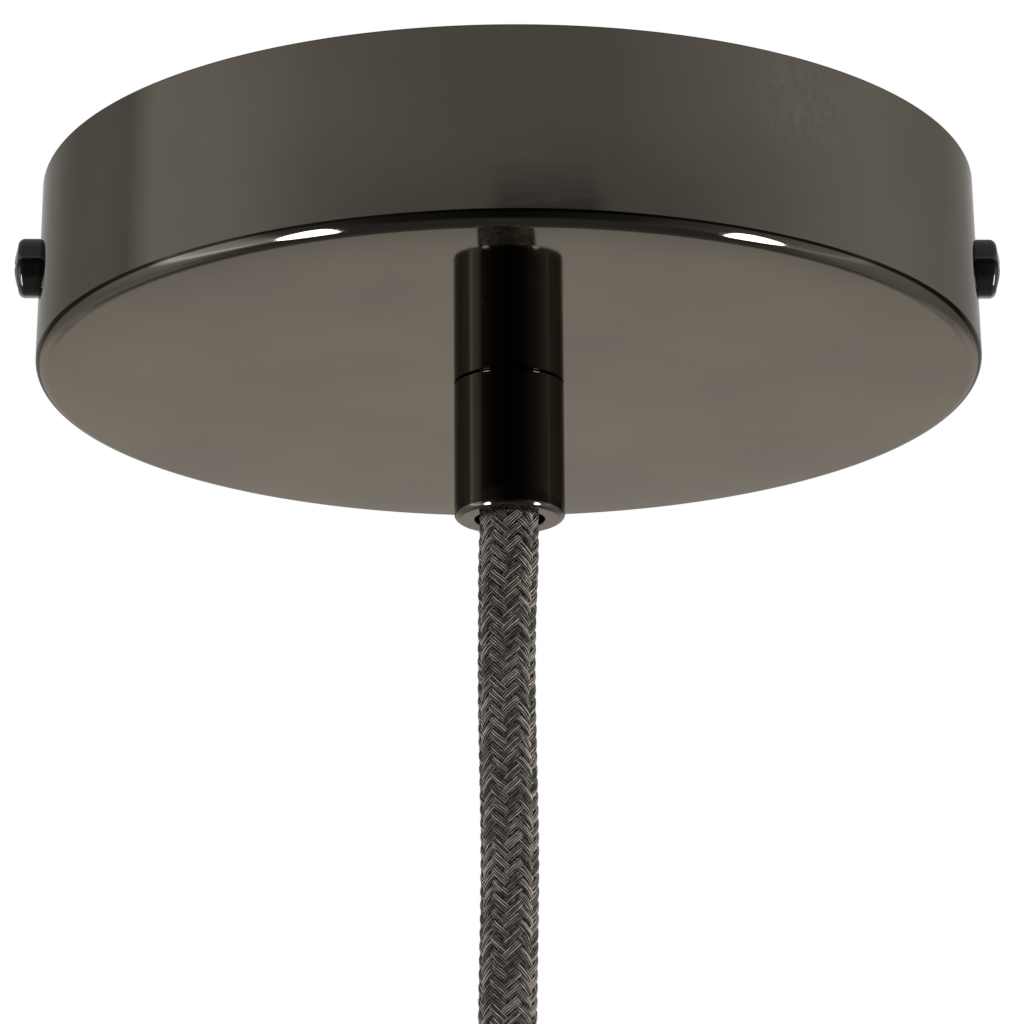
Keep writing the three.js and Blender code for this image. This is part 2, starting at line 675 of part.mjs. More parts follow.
const quarter = Math.PI / 2;
const sideHeadX = wallRadius(SIDE_SCREW_Z) + SIDE_HEAD_TO_WALL;
place("canopy_cup", canopyCup(), blackPearl);
place("ceiling_bracket", ceilingBracket(), zinc);
place("side_screw_right", sideScrew(), blackLacquer, [sideHeadX, 0, SIDE_SCREW_Z], [0, quarter, 0]);
place("side_screw_left", sideScrew(), blackLacquer, [-sideHeadX, 0, SIDE_SCREW_Z], [0, -quarter, 0]);
place("cord_grip_body", cordGripBody(), blackPearl);
place("cord_grip_collet", cordGripCollet(), nylon);
place("threaded_nipple", threadedNipple(), zinc);
const washerHole = threadBore + SLEEVE_GAP;
const washer = toothedWasher(WASHER_RADIUS, washerHole, WASHER_TOOTH, WASHER_TEETH, WASHER_THICKNESS);
place("lock_washer", washer, zinc, [0, 0, washerLow]);
place("lock_nut", lockNut(), zinc, [0, 0, nutLow]);

place("terminal_block_housing", terminalBlockHousing(), nylon);
for (const [name, y] of Object.entries(poleY)) {
  place(`terminal_barrel_${name}`, terminalBarrel(), brass, [BLOCK_X, y, POLE_Z]);
  const clampZ = POLE_Z - FERRULE_RADIUS - SEAT_GAP - CLAMP_LENGTH;
  const sides = { supply: turretX[0], cord: turretX[1] };
  for (const [side, x] of Object.entries(sides)) {
    place(`clamp_screw_${name}_${side}`, clampScrew(), zinc, [x, y, clampZ], [Math.PI, 0, 0]);
  }
}
blockScrewY.forEach((y, i) => {
  place(`block_screw_${i + 1}`, blockScrew(), zinc, [BLOCK_X, y, POST_Z - SEAT_GAP], [Math.PI, 0, 0]);
});

const earthWasher = toothedWasher(RING_RADIUS, sideThread, 0.7, 8, EARTH_WASHER_THICKNESS);
place("earth_washer", earthWasher, zinc, [EARTH_X, earthY + SEAT_GAP, EARTH_Z], [-quarter, 0, 0]);
place("earth_ring_terminal", earthRingTerminal(), tin, [EARTH_X, ringMiddle, EARTH_Z]);
const earthHeadY = ringLow + RING_THICKNESS + SEAT_GAP;
place("earth_screw", earthScrew(), zinc, [EARTH_X, earthHeadY, EARTH_Z], [-quarter, 0, 0]);

const cores = { live: brownCore, neutral: blueCore, earth: earthCore };
const ferruleX = coreEndX - CORE_GAP;
for (const [name, colour] of Object.entries(cores)) {
  const radius = name === "earth" ? PAIR_FERRULE_RADIUS : FERRULE_RADIUS;
  const ferruleY = poleY[name] + ferruleOffset[name];
  place(`${name}_core`, innerCore(name), colour);
  place(`${name}_ferrule`, ferrule(radius), tin, [ferruleX, ferruleY, POLE_Z]);
}
place("earth_link_wire", earthLinkWire(), earthCore);
const linkFerruleY = poleY.earth + PAIR_FERRULE_OFFSET;
place("earth_link_ferrule", ferrule(PAIR_FERRULE_RADIUS), tin, [ferruleX, linkFerruleY, POLE_Z]);

const sleeveInside = CORD_RADIUS + SLEEVE_GAP;
const sleeveOutside = sleeveInside + SLEEVE_WALL;
const topSleeveLow = nippleHigh + CORE_GAP;
const topSleeve = tube(sleeveOutside, sleeveInside, 0, TOP_SLEEVE_HEIGHT, TUBE_SEGMENTS);
const endSleeve = tube(sleeveOutside, sleeveInside, -END_SLEEVE_HEIGHT, 0, TUBE_SEGMENTS);
place("cord_top_sleeve", topSleeve, shrinkSleeve, [0, 0, topSleeveLow]);
place("pendant_cord", pendantCord(), textile);
const [endX, endY, endZ] = cordEnd;
place("cord_end_sleeve", endSleeve, shrinkSleeve, [endX, endY, endZ + END_SLEEVE_OVERLAP]);
for (const [name, colour] of Object.entries(cores)) {
  const tip = onCoreRing(name, endX, endY, endZ - TAIL_LENGTH - CORE_GAP, TAIL_SPREAD);
  place(`${name}_tail`, tailCore(name), colour);
  const conductor = rod(CONDUCTOR_RADIUS, -CONDUCTOR_LENGTH, 0, WIRE_SEGMENTS);
  place(`${name}_tail_end`, conductor, copper, tip.toArray());
}

export default canopy;
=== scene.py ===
"""Looks for the ceiling canopy: plated cup, grip and screws, textile cord, wiring and bracket."""

import json
import math

import bpy
import numpy as np
from mathutils import Matrix, Quaternion, Vector


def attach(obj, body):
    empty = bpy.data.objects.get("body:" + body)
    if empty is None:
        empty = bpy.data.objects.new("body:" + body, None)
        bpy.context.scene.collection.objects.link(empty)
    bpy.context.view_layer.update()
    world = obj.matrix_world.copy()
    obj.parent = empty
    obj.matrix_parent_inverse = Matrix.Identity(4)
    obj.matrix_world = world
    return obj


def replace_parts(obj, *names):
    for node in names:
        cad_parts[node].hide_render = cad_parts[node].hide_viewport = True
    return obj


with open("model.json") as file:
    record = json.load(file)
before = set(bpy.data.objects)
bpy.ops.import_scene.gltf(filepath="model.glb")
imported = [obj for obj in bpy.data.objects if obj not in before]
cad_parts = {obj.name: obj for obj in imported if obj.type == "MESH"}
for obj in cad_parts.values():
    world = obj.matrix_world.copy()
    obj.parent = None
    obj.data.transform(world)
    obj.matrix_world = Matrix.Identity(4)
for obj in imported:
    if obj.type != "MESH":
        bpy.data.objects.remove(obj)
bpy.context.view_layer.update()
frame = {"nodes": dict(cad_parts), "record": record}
MM = 0.001
GIRTH_SHARE = 0.98  # a strand's u coordinate runs over this much of its whole number
scene = bpy.context.scene
scene.view_settings.view_transform = "Standard"


# Camera, fitted to the canopy's outline in the photograph
def make_camera():
    data = bpy.data.cameras.new("camera")
    data.sensor_width = 36
    data.lens = 178.713
    data.clip_start = 0.01
    camera = bpy.data.objects.new("camera", data)
    scene.collection.objects.link(camera)
    right = Vector((0.9999774, 0.00150275, -0.0065531))
    up = Vector((0.00670866, -0.28707892, 0.95788344))
    back = right.cross(up)
    place = Matrix.Translation(Vector((0, -614.651, -226.217)) * MM)
    turn = Matrix.Rotation(math.radians(-1.27), 4, "Z")
    camera.matrix_world = turn @ place @ Matrix((right, up, back)).transposed().to_4x4()
    scene.camera = camera


make_camera()


# Meshes
def add_mesh(name, vertices, faces, slot, normals=None, uvs=None, sharp=None):
    """A piece in its slot's material, from points in millimetres. normals and uvs hold one entry for
    each face corner; edges that bend by more than sharp degrees stay crisp."""
    mesh = bpy.data.meshes.new(name)
    mesh.from_pydata((np.asarray(vertices) * MM).tolist(), [], faces)
    mesh.polygons.foreach_set("use_smooth", [True] * len(mesh.polygons))
    if uvs is not None:
        mesh.uv_layers.new(name="uv").data.foreach_set("uv", np.asarray(uvs, float).ravel())
    if sharp is not None:
        mesh.set_sharp_from_angle(angle=math.radians(sharp))
    if normals is not None:
        mesh.normals_split_custom_set(np.asarray(normals).tolist())
    mesh.materials.append(MATERIALS[slot])
    piece = bpy.data.objects.new(name, mesh)
    scene.collection.objects.link(piece)
    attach(piece, "root")
    return piece


def circle(count):
    """Angles of count points round a circle."""
    return 2 * np.pi * np.arange(count) / count


def ring(radius, turn, z):
    """Points at angles turn about Z, at height z."""
    return np.stack([radius * np.cos(turn), radius * np.sin(turn), np.full(len(turn), z)], -1)


def arc(r, z, radius, start, end, steps):
    """Profile points (r, z, normal r, normal z) on an arc, angles in degrees."""
    angles = np.radians(np.linspace(start, end, steps + 1))
    return [(r + radius * c, z + radius * s, c, s) for c, s in zip(np.cos(angles), np.sin(angles))]


def line(r0, z0, r1, z1, steps=1):
    """Profile points along a straight line, with its material on its left."""
    length = math.hypot(r1 - r0, z1 - z0)
    nr, nz = (z1 - z0) / length, (r0 - r1) / length
    return [
        (r0 + (r1 - r0) * t, z0 + (z1 - z0) * t, nr, nz) for t in np.linspace(0, 1, steps + 1)
    ]


def turned(sections, segments):
    """A closed turned solid about Z, on the left of its sections, which keep clear of the axis. Each
    section is a smooth run of profile points."""
    strips = [
        (first, second)
        for section in sections
        for first, second in zip(section, section[1:])
        if math.hypot(second[0] - first[0], second[1] - first[1]) > 1e-7
    ]
    index = {}

    def key(p):
        """Number of a profile point, the same for points that coincide."""
        return index.setdefault((round(p[0], 5), round(p[1], 5)), len(index))

    edges = [(key(a), key(b), a, b) for a, b in strips]
    turn = circle(segments)
    cos, sin = np.cos(turn), np.sin(turn)
    vertices = []
    for r, z in index:
        vertices.extend(zip(r * cos, r * sin, np.full(segments, z)))
    faces, normals = [], []
    for ia, ib, a, b in edges:
        for i in range(segments):
            j = (i + 1) % segments
            corners = [(ia, i, a), (ia, j, a), (ib, j, b), (ib, i, b)]
            faces.append([point * segments + step for point, step, _ in corners])
            normals.extend((p[2] * cos[step], p[2] * sin[step], p[3]) for _, step, p in corners)
    return vertices, faces, normals


def smooth_path(points, steps):
    """Points along a smooth curve through the given points, in millimetres."""
    points = np.asarray(points, float)
    knots = np.concatenate([[0], np.cumsum(np.linalg.norm(np.diff(points, axis=0), axis=1) ** 0.5)])
    tangents = np.gradient(points, knots, axis=0)
    at = np.linspace(0, knots[-1], steps + 1)
    span = np.clip(np.searchsorted(knots, at, side="right") - 1, 0, len(points) - 2)
    width = (knots[span + 1] - knots[span])[:, None]
    t = (at - knots[span])[:, None] / width
    a, b = points[span], points[span + 1]
    ta, tb = tangents[span] * width, tangents[span + 1] * width
    return (
        (2 * t**3 - 3 * t**2 + 1) * a
        + (t**3 - 2 * t**2 + t) * ta
        + (3 * t**2 - 2 * t**3) * b
        + (t**3 - t**2) * tb
    )


def bezier(a, b, c, d, steps):
    """Points along a cubic curve from a to d."""
    a, b, c, d = (np.asarray(p, float) for p in (a, b, c, d))
    t = np.linspace(0, 1, steps + 1)[:, None]
    return (1 - t) ** 3 * a + 3 * (1 - t) ** 2 * t * b + 3 * (1 - t) * t**2 * c + t**3 * d


def strand(path, radial, across, up, sides, first_vertex, tag):
    """An elliptical tube along a path. radial points to one side of it at each step; up is its half size
    that way and across the other one. Its u coordinate starts at the whole number tag."""
    path = np.asarray(path)
    tangent = np.gradient(path, axis=0)
    tangent /= np.linalg.norm(tangent, axis=1)[:, None]
    side = radial - np.sum(radial * tangent, axis=1)[:, None] * tangent
    side /= np.linalg.norm(side, axis=1)[:, None]
    other = np.cross(tangent, side)
    turn = circle(sides)
    rings = (
        path[:, None, :]
        + up * np.cos(turn)[None, :, None] * side[:, None, :]
        + across * np.sin(turn)[None, :, None] * other[:, None, :]
    )
    count = len(path)
    length = np.concatenate([[0], np.cumsum(np.linalg.norm(np.diff(path, axis=0), axis=1))])
    k = np.arange(count - 1)[:, None]
    s = np.arange(sides)[None, :]
    n = (s + 1) % sides
    corners = [k * sides + s, k * sides + n, (k + 1) * sides + n, (k + 1) * sides + s]
    faces = (np.stack(corners, axis=-1).reshape(-1, 4) + first_vertex).tolist()
    u0, u1 = s / sides, (s + 1) / sides
    v0, v1 = length[:-1][:, None], length[1:][:, None]
    corners = [
        np.stack(np.broadcast_arrays(tag + u * GIRTH_SHARE, v), -1)
        for u, v in ((u0, v0), (u1, v0), (u1, v1), (u0, v1))
    ]
    uvs = np.stack(corners, axis=2).reshape(-1, 2).tolist()
    low = list(range(first_vertex, first_vertex + sides))[::-1]
    high = list(range(first_vertex + (count - 1) * sides, first_vertex + count * sides))
    faces += [low, high]
    uvs += [[tag + 0.5, 0.0]] * sides + [[tag + 0.5, float(length[-1])]] * sides
    return rings.reshape(-1, 3).tolist(), faces, uvs


def ring_stack(rings, closed=False):
    """A solid from rings of points of equal count: its ends are fans, or it closes on itself."""
    rings = [np.asarray(r, float) for r in rings]
    count = len(rings[0])
    vertices = np.concatenate(rings).tolist()
    pairs = [(k, k + 1) for k in range(len(rings) - 1)]
    if closed:
        pairs.append((len(rings) - 1, 0))
    faces = []
    for low, high in pairs:
        for i in range(count):
            j = (i + 1) % count
            faces.append([low * count + i, low * count + j, high * count + j, high * count + i])
    if not closed:
        vertices += [rings[0].mean(axis=0).tolist(), rings[-1].mean(axis=0).tolist()]
        base, top, last = len(vertices) - 2, len(vertices) - 1, (len(rings) - 1) * count
        for i in range(count):
            j = (i + 1) % count
            faces.append([base, j, i])
            faces.append([top, last + i, last + j])
    return vertices, faces


def threaded_rings(radius, pitch, depth, low, high, segments, chamfer, runout):
    """Rings of a screw thread about Z. Its lower end is chamfered; its upper end runs out, or is
    chamfered too."""
    turn = circle(segments)
    rings_per_pitch, flank, root = 8, 2.6, 0.2
    rings = []
    for z in np.linspace(low, high, int((high - low) / pitch * rings_per_pitch) + 1):
        phase = (z / pitch - turn / (2 * np.pi)) % 1
        ridge = np.clip(flank * np.abs(phase - 0.5) - root, 0, 1)
        if runout:
            ridge = ridge * np.clip((high - z) / pitch, 0, 1)
        reach = radius - depth * (1 - ridge)
        reach = np.minimum(reach, radius - chamfer + (z - low))
        if not runout:
            reach = np.minimum(reach, radius - chamfer + (high - z))
        rings.append(ring(reach, turn, z))
    return rings


def plain_rings(profile, segments):
    return [ring(r, circle(segments), z) for r, z in profile]


def prism(points, low, high, taper=1.0):
    """A prism about Z whose lower end is scaled by taper."""
    count = len(points)
    vertices = [(x * taper, y * taper, low) for x, y in points] + [(x, y, high) for x, y in points]
    faces = [list(range(count))[::-1], list(range(count, 2 * count))]
    for i in range(count):
        j = (i + 1) % count
        faces.append([i, j, count + j, count + i])
    return vertices, faces


def carve(piece, vertices, faces):
    """Cut a solid out of a piece."""
    mesh = bpy.data.meshes.new("cutter")
    mesh.from_pydata((np.asarray(vertices) * MM).tolist(), [], faces)
    cutter = bpy.data.objects.new("cutter", mesh)
    scene.collection.objects.link(cutter)
    cut = piece.modifiers.new("cut", "BOOLEAN")
    cut.operation = "DIFFERENCE"
    cut.solver = "EXACT"
    cut.object = cutter
    graph = bpy.context.evaluated_depsgraph_get()
    result = bpy.data.meshes.new_from_object(piece.evaluated_get(graph))
    piece.modifiers.clear()
    piece.data = result
    bpy.data.objects.remove(cutter)
    bpy.data.meshes.remove(mesh)


def tube_piece(name, path, radius, slot, sides=24):
    """A round wire along a path."""
    path = np.asarray(path)
    sideways = np.broadcast_to([1.0, 0.2, 0.1], path.shape)
    vertices, faces, uvs = strand(path, sideways, radius, radius, sides, 0, 0)
    return add_mesh(name, vertices, faces, slot, uvs=uvs)


# Materials
def feed(tree, target, values):
    """Link or set a node's inputs."""
    for key, value in values.items():
        if isinstance(value, bpy.types.NodeSocket):
            tree.links.new(value, target.inputs[key])
        else:
            target.inputs[key].default_value = value


def node_maker(tree):
    """A function that adds a node to the tree, with its inputs and its settings."""

    def node(kind, inputs=None, **settings):
        made = tree.nodes.new(kind)
        for key, value in settings.items():
            setattr(made, key, value)
        feed(tree, made, inputs or {})
        return made

    return node


def finish(name):
    """A material, a maker of its nodes and a function that feeds its shader."""
    material = bpy.data.materials.new(name)
    material.use_nodes = True
    tree = material.node_tree
    shader = next(n for n in tree.nodes if n.type == "BSDF_PRINCIPLED")
    return material, node_maker(tree), lambda values: feed(tree, shader, values)


def place(node, scale, uv=False):
    """Object coordinates in metres, or the strand's own, stretched by scale."""
    source = node("ShaderNodeTexCoord").outputs["UV" if uv else "Object"]
    return node("ShaderNodeMapping", {"Vector": source, "Scale": scale}).outputs["Vector"]


def noise(node, where, detail, roughness=0.5):
    return node(
        "ShaderNodeTexNoise",
        {"Vector": where, "Scale": 1.0, "Detail": detail, "Roughness": roughness},
    ).outputs["Fac"]


def ramp(node, value, *stops):
    """A colour ramp of (place, colour) stops; a colour that is a number is a grey."""
    made = node("ShaderNodeValToRGB", {"Fac": value})
    elements = made.color_ramp.elements
    while len(elements) < len(stops):
        elements.new(0.5)
    for element, (at, colour) in zip(elements, stops):
        element.position = at
        element.color = (*colour, 1) if isinstance(colour, tuple) else (colour, colour, colour, 1)
    return made.outputs["Color"]


def spread(node, value, low, high, to_low=0.0, to_high=1.0, kind="LINEAR"):
    """Map the range low to high onto to_low to to_high."""
    return node(
        "ShaderNodeMapRange",
        {"Value": value, "From Min": low, "From Max": high, "To Min": to_low, "To Max": to_high},
        interpolation_type=kind,
    ).outputs["Result"]


def maths(node, operation, *values):
    return node("ShaderNodeMath", dict(enumerate(values)), operation=operation).outputs[0]


def blend(node, factor, first, second):
    return node(
        "ShaderNodeMix", {"Factor": factor, "A": first, "B": second}, data_type="RGBA"
    ).outputs["Result"]


def bump(node, height, strength, distance):
    return node(
        "ShaderNodeBump", {"Height": height, "Strength": strength, "Distance": distance * MM}
    ).outputs["Normal"]


# The rubbed patch on the wall, in metres: its middle, and how far it is whole and how far it reaches
RUBBED_SPOT = (0.0347, -0.0489, -0.0055)
RUBBED_WHOLE, RUBBED_REACH = 0.0025, 0.009
RIPPLE_WEIGHT = 10.0  # the ripple's depth against that of the hairlines


def plating():
    """Black nickel, mirror polished: a faint ripple, mottling, hairlines, dust and one rubbed patch."""
    material, node, wire = finish("black_pearl_plating")
    mottle = noise(node, place(node, (45, 45, 45)), 4)
    tone = ramp(node, mottle, (0.3, (0.152, 0.136, 0.113)), (0.7, (0.174, 0.157, 0.128)))
    hair = noise(node, place(node, (900, 60, 900)), 5, 0.7)
    dust = noise(node, place(node, (420, 420, 420)), 2)
    haze = spread(node, mottle, 0.3, 0.75, 0.035, 0.065)
    specks = spread(node, dust, 0.72, 0.80, 0.0, 0.12)
    ripple = noise(node, place(node, (70, 70, 240)), 2)
    here = node("ShaderNodeTexCoord").outputs["Object"]
    away = node("ShaderNodeVectorMath", {0: here, 1: RUBBED_SPOT}, operation="DISTANCE").outputs["Value"]
    patch = spread(node, away, RUBBED_WHOLE, RUBBED_REACH, 1.0, 0.0)
    rubs = noise(node, place(node, (1300, 1300, 600)), 5, 0.7)
    marks = spread(node, rubs, 0.44, 0.70, 0.0, 0.24)
    rubbed = maths(node, "MULTIPLY_ADD", patch, marks, 1.0)
    tone = node("ShaderNodeVectorMath", {0: tone, "Scale": rubbed}, operation="SCALE").outputs["Vector"]
    height = maths(node, "MULTIPLY_ADD", ripple, RIPPLE_WEIGHT, hair)
    wire(
        {
            "Metallic": 1.0,
            "Base Color": tone,
            "Specular Tint": (0.60, 0.58, 0.56, 1),
            "Roughness": maths(node, "ADD", haze, specks),
            "Normal": bump(node, height, 0.02, 0.02),
        }
    )
    return material


def lacquer():
    """Gloss black lacquer with a slight orange-peel skin."""
    material, node, wire = finish("gloss_black_lacquer")
    peel = noise(node, place(node, (1100, 1100, 1100)), 3)
    tone = ramp(node, peel, (0.3, (0.010, 0.010, 0.009)), (0.7, (0.016, 0.016, 0.014)))
    wire(
        {
            "Base Color": tone,
            "Roughness": spread(node, peel, 0.3, 0.7, 0.07, 0.13),
            "Specular IOR Level": 0.9,
            "Normal": bump(node, peel, 0.05, 0.02),
        }
    )
    return material


def zinc():
    """Bright zinc with blotches and faint rolling lines along X."""
    material, node, wire = finish("bright_zinc")
    blotch = noise(node, place(node, (160, 160, 160)), 6, 0.65)
    tone = ramp(
        node,
        blotch,
        (0.30, (0.50, 0.51, 0.53)),
        (0.48, (0.66, 0.67, 0.68)),
        (0.62, (0.60, 0.63, 0.66)),
        (0.75, (0.70, 0.69, 0.64)),
    )
    rolled = noise(node, place(node, (90, 2600, 2600)), 4, 0.7)
    wire(
        {
            "Metallic": 1.0,
            "Base Color": tone,
            "Roughness": spread(node, blotch, 0.3, 0.7, 0.40, 0.27),
            "Normal": bump(node, rolled, 0.12, 0.03),
        }
    )
    return material


def turned_metal(name, dark, light, roughness):
    """Bare metal between two tones, with fine lines across Z."""
    material, node, wire = finish(name)
    grain = noise(node, place(node, (500, 500, 4000)), 4, 0.6)
    patina = noise(node, place(node, (220, 220, 220)), 5, 0.6)
    wire(
        {
            "Metallic": 1.0,
            "Base Color": ramp(node, patina, (0.3, dark), (0.65, light)),
            "Roughness": spread(node, patina, 0.3, 0.7, roughness + 0.1, roughness - 0.04),
            "Normal": bump(node, grain, 0.1, 0.02),
        }
    )
    return material


def nylon():
    """Natural moulded nylon, slightly translucent."""
    material, node, wire = finish("natural_nylon")
    cloud = noise(node, place(node, (130, 130, 130)), 3)
    skin = noise(node, place(node, (2400, 2400, 2400)), 3)
    wire(
        {
            "Base Color": ramp(node, cloud, (0.3, (0.70, 0.69, 0.64)), (0.7, (0.82, 0.81, 0.77))),
            "Roughness": spread(node, skin, 0.3, 0.7, 0.38, 0.52),
            "Subsurface Weight": 0.35,
            "Subsurface Radius": (0.8, 0.7, 0.6),
            "Subsurface Scale": 0.001,
            "Normal": bump(node, skin, 0.12, 0.02),
        }
    )
    return material


def shrink():
    """Black shrink tube, faintly wrinkled."""
    material, node, wire = finish("heat_shrink")
    wrinkle = noise(node, place(node, (700, 700, 260)), 4)
    tone = ramp(node, wrinkle, (0.3, (0.010, 0.010, 0.011)), (0.7, (0.020, 0.020, 0.020)))
    wire(
        {
            "Base Color": tone,
            "Roughness": spread(node, wrinkle, 0.3, 0.7, 0.42, 0.6),
            "Normal": bump(node, wrinkle, 0.25, 0.06),
        }
    )
    return material


def insulation(name, base, stripe=None):
    """Extruded insulation of a slightly uneven tone, with two stripes of a second colour along it."""
    material, node, wire = finish(name)
    fine = noise(node, place(node, (900, 900, 900)), 3)
    dark = tuple(0.82 * c for c in base)
    tone = ramp(node, fine, (0.3, dark), (0.7, base))
    if stripe:
        girth = node("ShaderNodeSeparateXYZ", {"Vector": place(node, (1, 1, 1), uv=True)}).outputs["X"]
        side = maths(node, "SINE", maths(node, "MULTIPLY", girth, 4 * math.pi))
        tone = blend(node, spread(node, side, 0.1, 0.25), tone, (*stripe, 1))
    wire(
        {
            "Base Color": tone,
            "Roughness": spread(node, fine, 0.3, 0.7, 0.3, 0.42),
            "Normal": bump(node, fine, 0.06, 0.03),
        }
    )
    return material


def yarn(name, *tones):
    """Rayon filaments: each of its own tone, with fibres along it, a painted highlight along the middle
    of each and painted shade down its sides."""
    material, node, wire = finish(name)
    split = node("ShaderNodeSeparateXYZ", {"Vector": place(node, (1, 1, 1), uv=True)})
    own = split.outputs["X"]
    chance = node(
        "ShaderNodeTexWhiteNoise", {"W": maths(node, "FLOOR", own)}, noise_dimensions="1D"
    ).outputs["Value"]
    fibres = noise(node, place(node, (14, 0.9, 1), uv=True), 4, 0.65)
    girth = maths(node, "MULTIPLY", maths(node, "FRACT", own), 2 * math.pi / GIRTH_SHARE)
    # Painted light round each filament: a painted highlight along its middle, painted shade down its
    # sides.
    painted_highlight_and_shade = maths(node, "MULTIPLY", maths(node, "COSINE", girth), 0.5)
    # Each filament's own random tone, added to that painted light.
    tone = maths(node, "ADD", painted_highlight_and_shade, maths(node, "MULTIPLY", chance, 0.12))
    total = maths(node, "ADD", maths(node, "MULTIPLY", fibres, 0.7), tone)
    wire(
        {
            "Base Color": ramp(node, total, *tones),
            "Roughness": spread(node, fibres, 0.3, 0.7, 0.32, 0.5),
            "Specular IOR Level": 0.6,
            "Sheen Weight": 0.2,
            "Sheen Roughness": 0.35,
            "Normal": bump(node, fibres, 0.4, 0.03),
        }
    )
    return material


MATERIALS = {
    "black_pearl": plating(),
    "black_lacquer": lacquer(),
    "zinc_plate": zinc(),
    "brass": turned_metal("turned_brass", (0.36, 0.25, 0.09), (0.60, 0.45, 0.19), 0.28),
    "tinned_copper": turned_metal("tinned_copper", (0.50, 0.50, 0.49), (0.70, 0.70, 0.68), 0.3),
    "bare_copper": turned_metal("bare_copper", (0.42, 0.17, 0.08), (0.68, 0.33, 0.18), 0.3),
    "white_nylon": nylon(),
    "shrink_sleeve": shrink(),
    "brown_core": insulation("brown_insulation", (0.105, 0.042, 0.018)),
    "blue_core": insulation("blue_insulation", (0.024, 0.107, 0.342)),
    "earth_core": insulation("earth_insulation", (0.10, 0.28, 0.03), (0.78, 0.62, 0.03)),
    # The ramp's near-black stops are painted shade on the filaments' sides; its pale end is a painted
    # highlight along their middles.
    "textile_cord": yarn(
        "rayon_yarn",
        (0.54, (0.002, 0.002, 0.002)),
        (0.83, (0.016, 0.0142, 0.012)),
        (1.0, (0.92, 0.835, 0.72)),
    ),
}

# Textile cord. The route repeats the one in the part's source.
CORD_ROUTE = [
    (0, 0, -16.6),
    (0, 0, -25),
    (0, 0, -35),
    (-0.08, 0, -43),
    (-0.25, 0, -50),
    (-0.46, 0, -58),
    (-0.52, 0, -66),
    (-0.4, 0, -75),
    (-0.28, 0, -85),
    (-0.38, 0, -94),
    (-0.58, 0, -102),
    (-0.7, 0, -108),
    (-0.76, 0, -112),
]
CORD_BODY_RADIUS = 3.15
CARRIERS = 12  # bundles of filaments in each family
FILAMENTS = 4
FILAMENT_SPACING, FILAMENT_WANDER = 0.275, 0.03
FILAMENT_ACROSS, FILAMENT_UP, FILAMENT_SIDES = 0.13, 0.125, 8
LEAD = 20.7
BRAID_RADIUS = 3.38
BRAID_WAVE, WAVE_FLATNESS, WAVE_PHASE = 0.17, 2.4, 0.125
BRAID_START, BRAID_END, BRAID_STEPS = 23.4, 95.3, 226  # depths below the cord's upper end
BUNDLE_HALF, BUNDLE_CROWN = 0.41, 0.1  # a bundle is this much lower at its edges
BULGE, BULGE_DEPTH, BULGE_REACH = 0.05, 31.4, 6  # the cord is thicker just below the grip
LEFT_TAG = 80  # first tag of the left-hand family, above all tags of the other

cord_line = smooth_path(CORD_ROUTE, 120)


def on_cord(depth):
    """Centre of the cord at depths below its upper end."""
    z = CORD_ROUTE[0][2] - depth
    x = np.interp(-z, -cord_line[:, 2], cord_line[:, 0])
    return np.stack([x, np.zeros_like(x), z], axis=-1)


def braid(name, way):
    """One family of yarns, twelve bundles of four filaments, each over two and under two of the other."""
    twist = 2 * np.pi / LEAD
    slope = math.atan(BRAID_RADIUS * twist)
    depth = np.linspace(BRAID_START, BRAID_END, BRAID_STEPS)
    crossing = depth * CARRIERS * twist / np.pi
    vertices, faces, uvs = [], [], []
    for bundle in range(CARRIERS):
        for filament in range(FILAMENTS):
            offset = (filament - (FILAMENTS - 1) / 2) * FILAMENT_SPACING
            offset = offset + FILAMENT_WANDER * np.sin(depth * 2.1 + 7 * filament + 3 * bundle)
            along = depth - way * offset * math.sin(slope)
            angle = (
                way * twist * depth
                + 2 * np.pi * bundle / CARRIERS
                + offset * math.cos(slope) / BRAID_RADIUS
            )
            turns = (crossing + 2 * bundle) / 4 if way > 0 else (2 * bundle - crossing) / 4
            wave = np.tanh(WAVE_FLATNESS * np.cos(2 * np.pi * (turns - WAVE_PHASE)))
            wave = wave / np.tanh(WAVE_FLATNESS)
            swell = 1 + BULGE * np.exp(-(((along - BULGE_DEPTH) / BULGE_REACH) ** 2))
            lift = way * BRAID_WAVE * wave
            radius = BRAID_RADIUS * swell + lift - BUNDLE_CROWN * (offset / BUNDLE_HALF) ** 2
            out = np.stack([np.cos(angle), np.sin(angle), np.zeros_like(angle)], axis=-1)
            path = on_cord(along) + radius[:, None] * out
            tag = bundle * FILAMENTS + filament + (0 if way > 0 else LEFT_TAG)
            v, f, uv = strand(
                path, out, FILAMENT_ACROSS, FILAMENT_UP, FILAMENT_SIDES, len(vertices), tag
            )
            vertices += v
            faces += f
            uvs += uv
    return add_mesh(name, vertices, faces, "textile_cord", uvs=uvs)


# The body under the braid takes the yarn's painted light too: painted shade over most of it, where it
# shows between the filaments, and a painted highlight down its +X side.
cord_body = tube_piece("cord_body", cord_line, CORD_BODY_RADIUS, "textile_cord", sides=32)
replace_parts(cord_body, "pendant_cord")
braid_right = braid("cord_braid_right", 1)
braid_left = braid("cord_braid_left", -1)

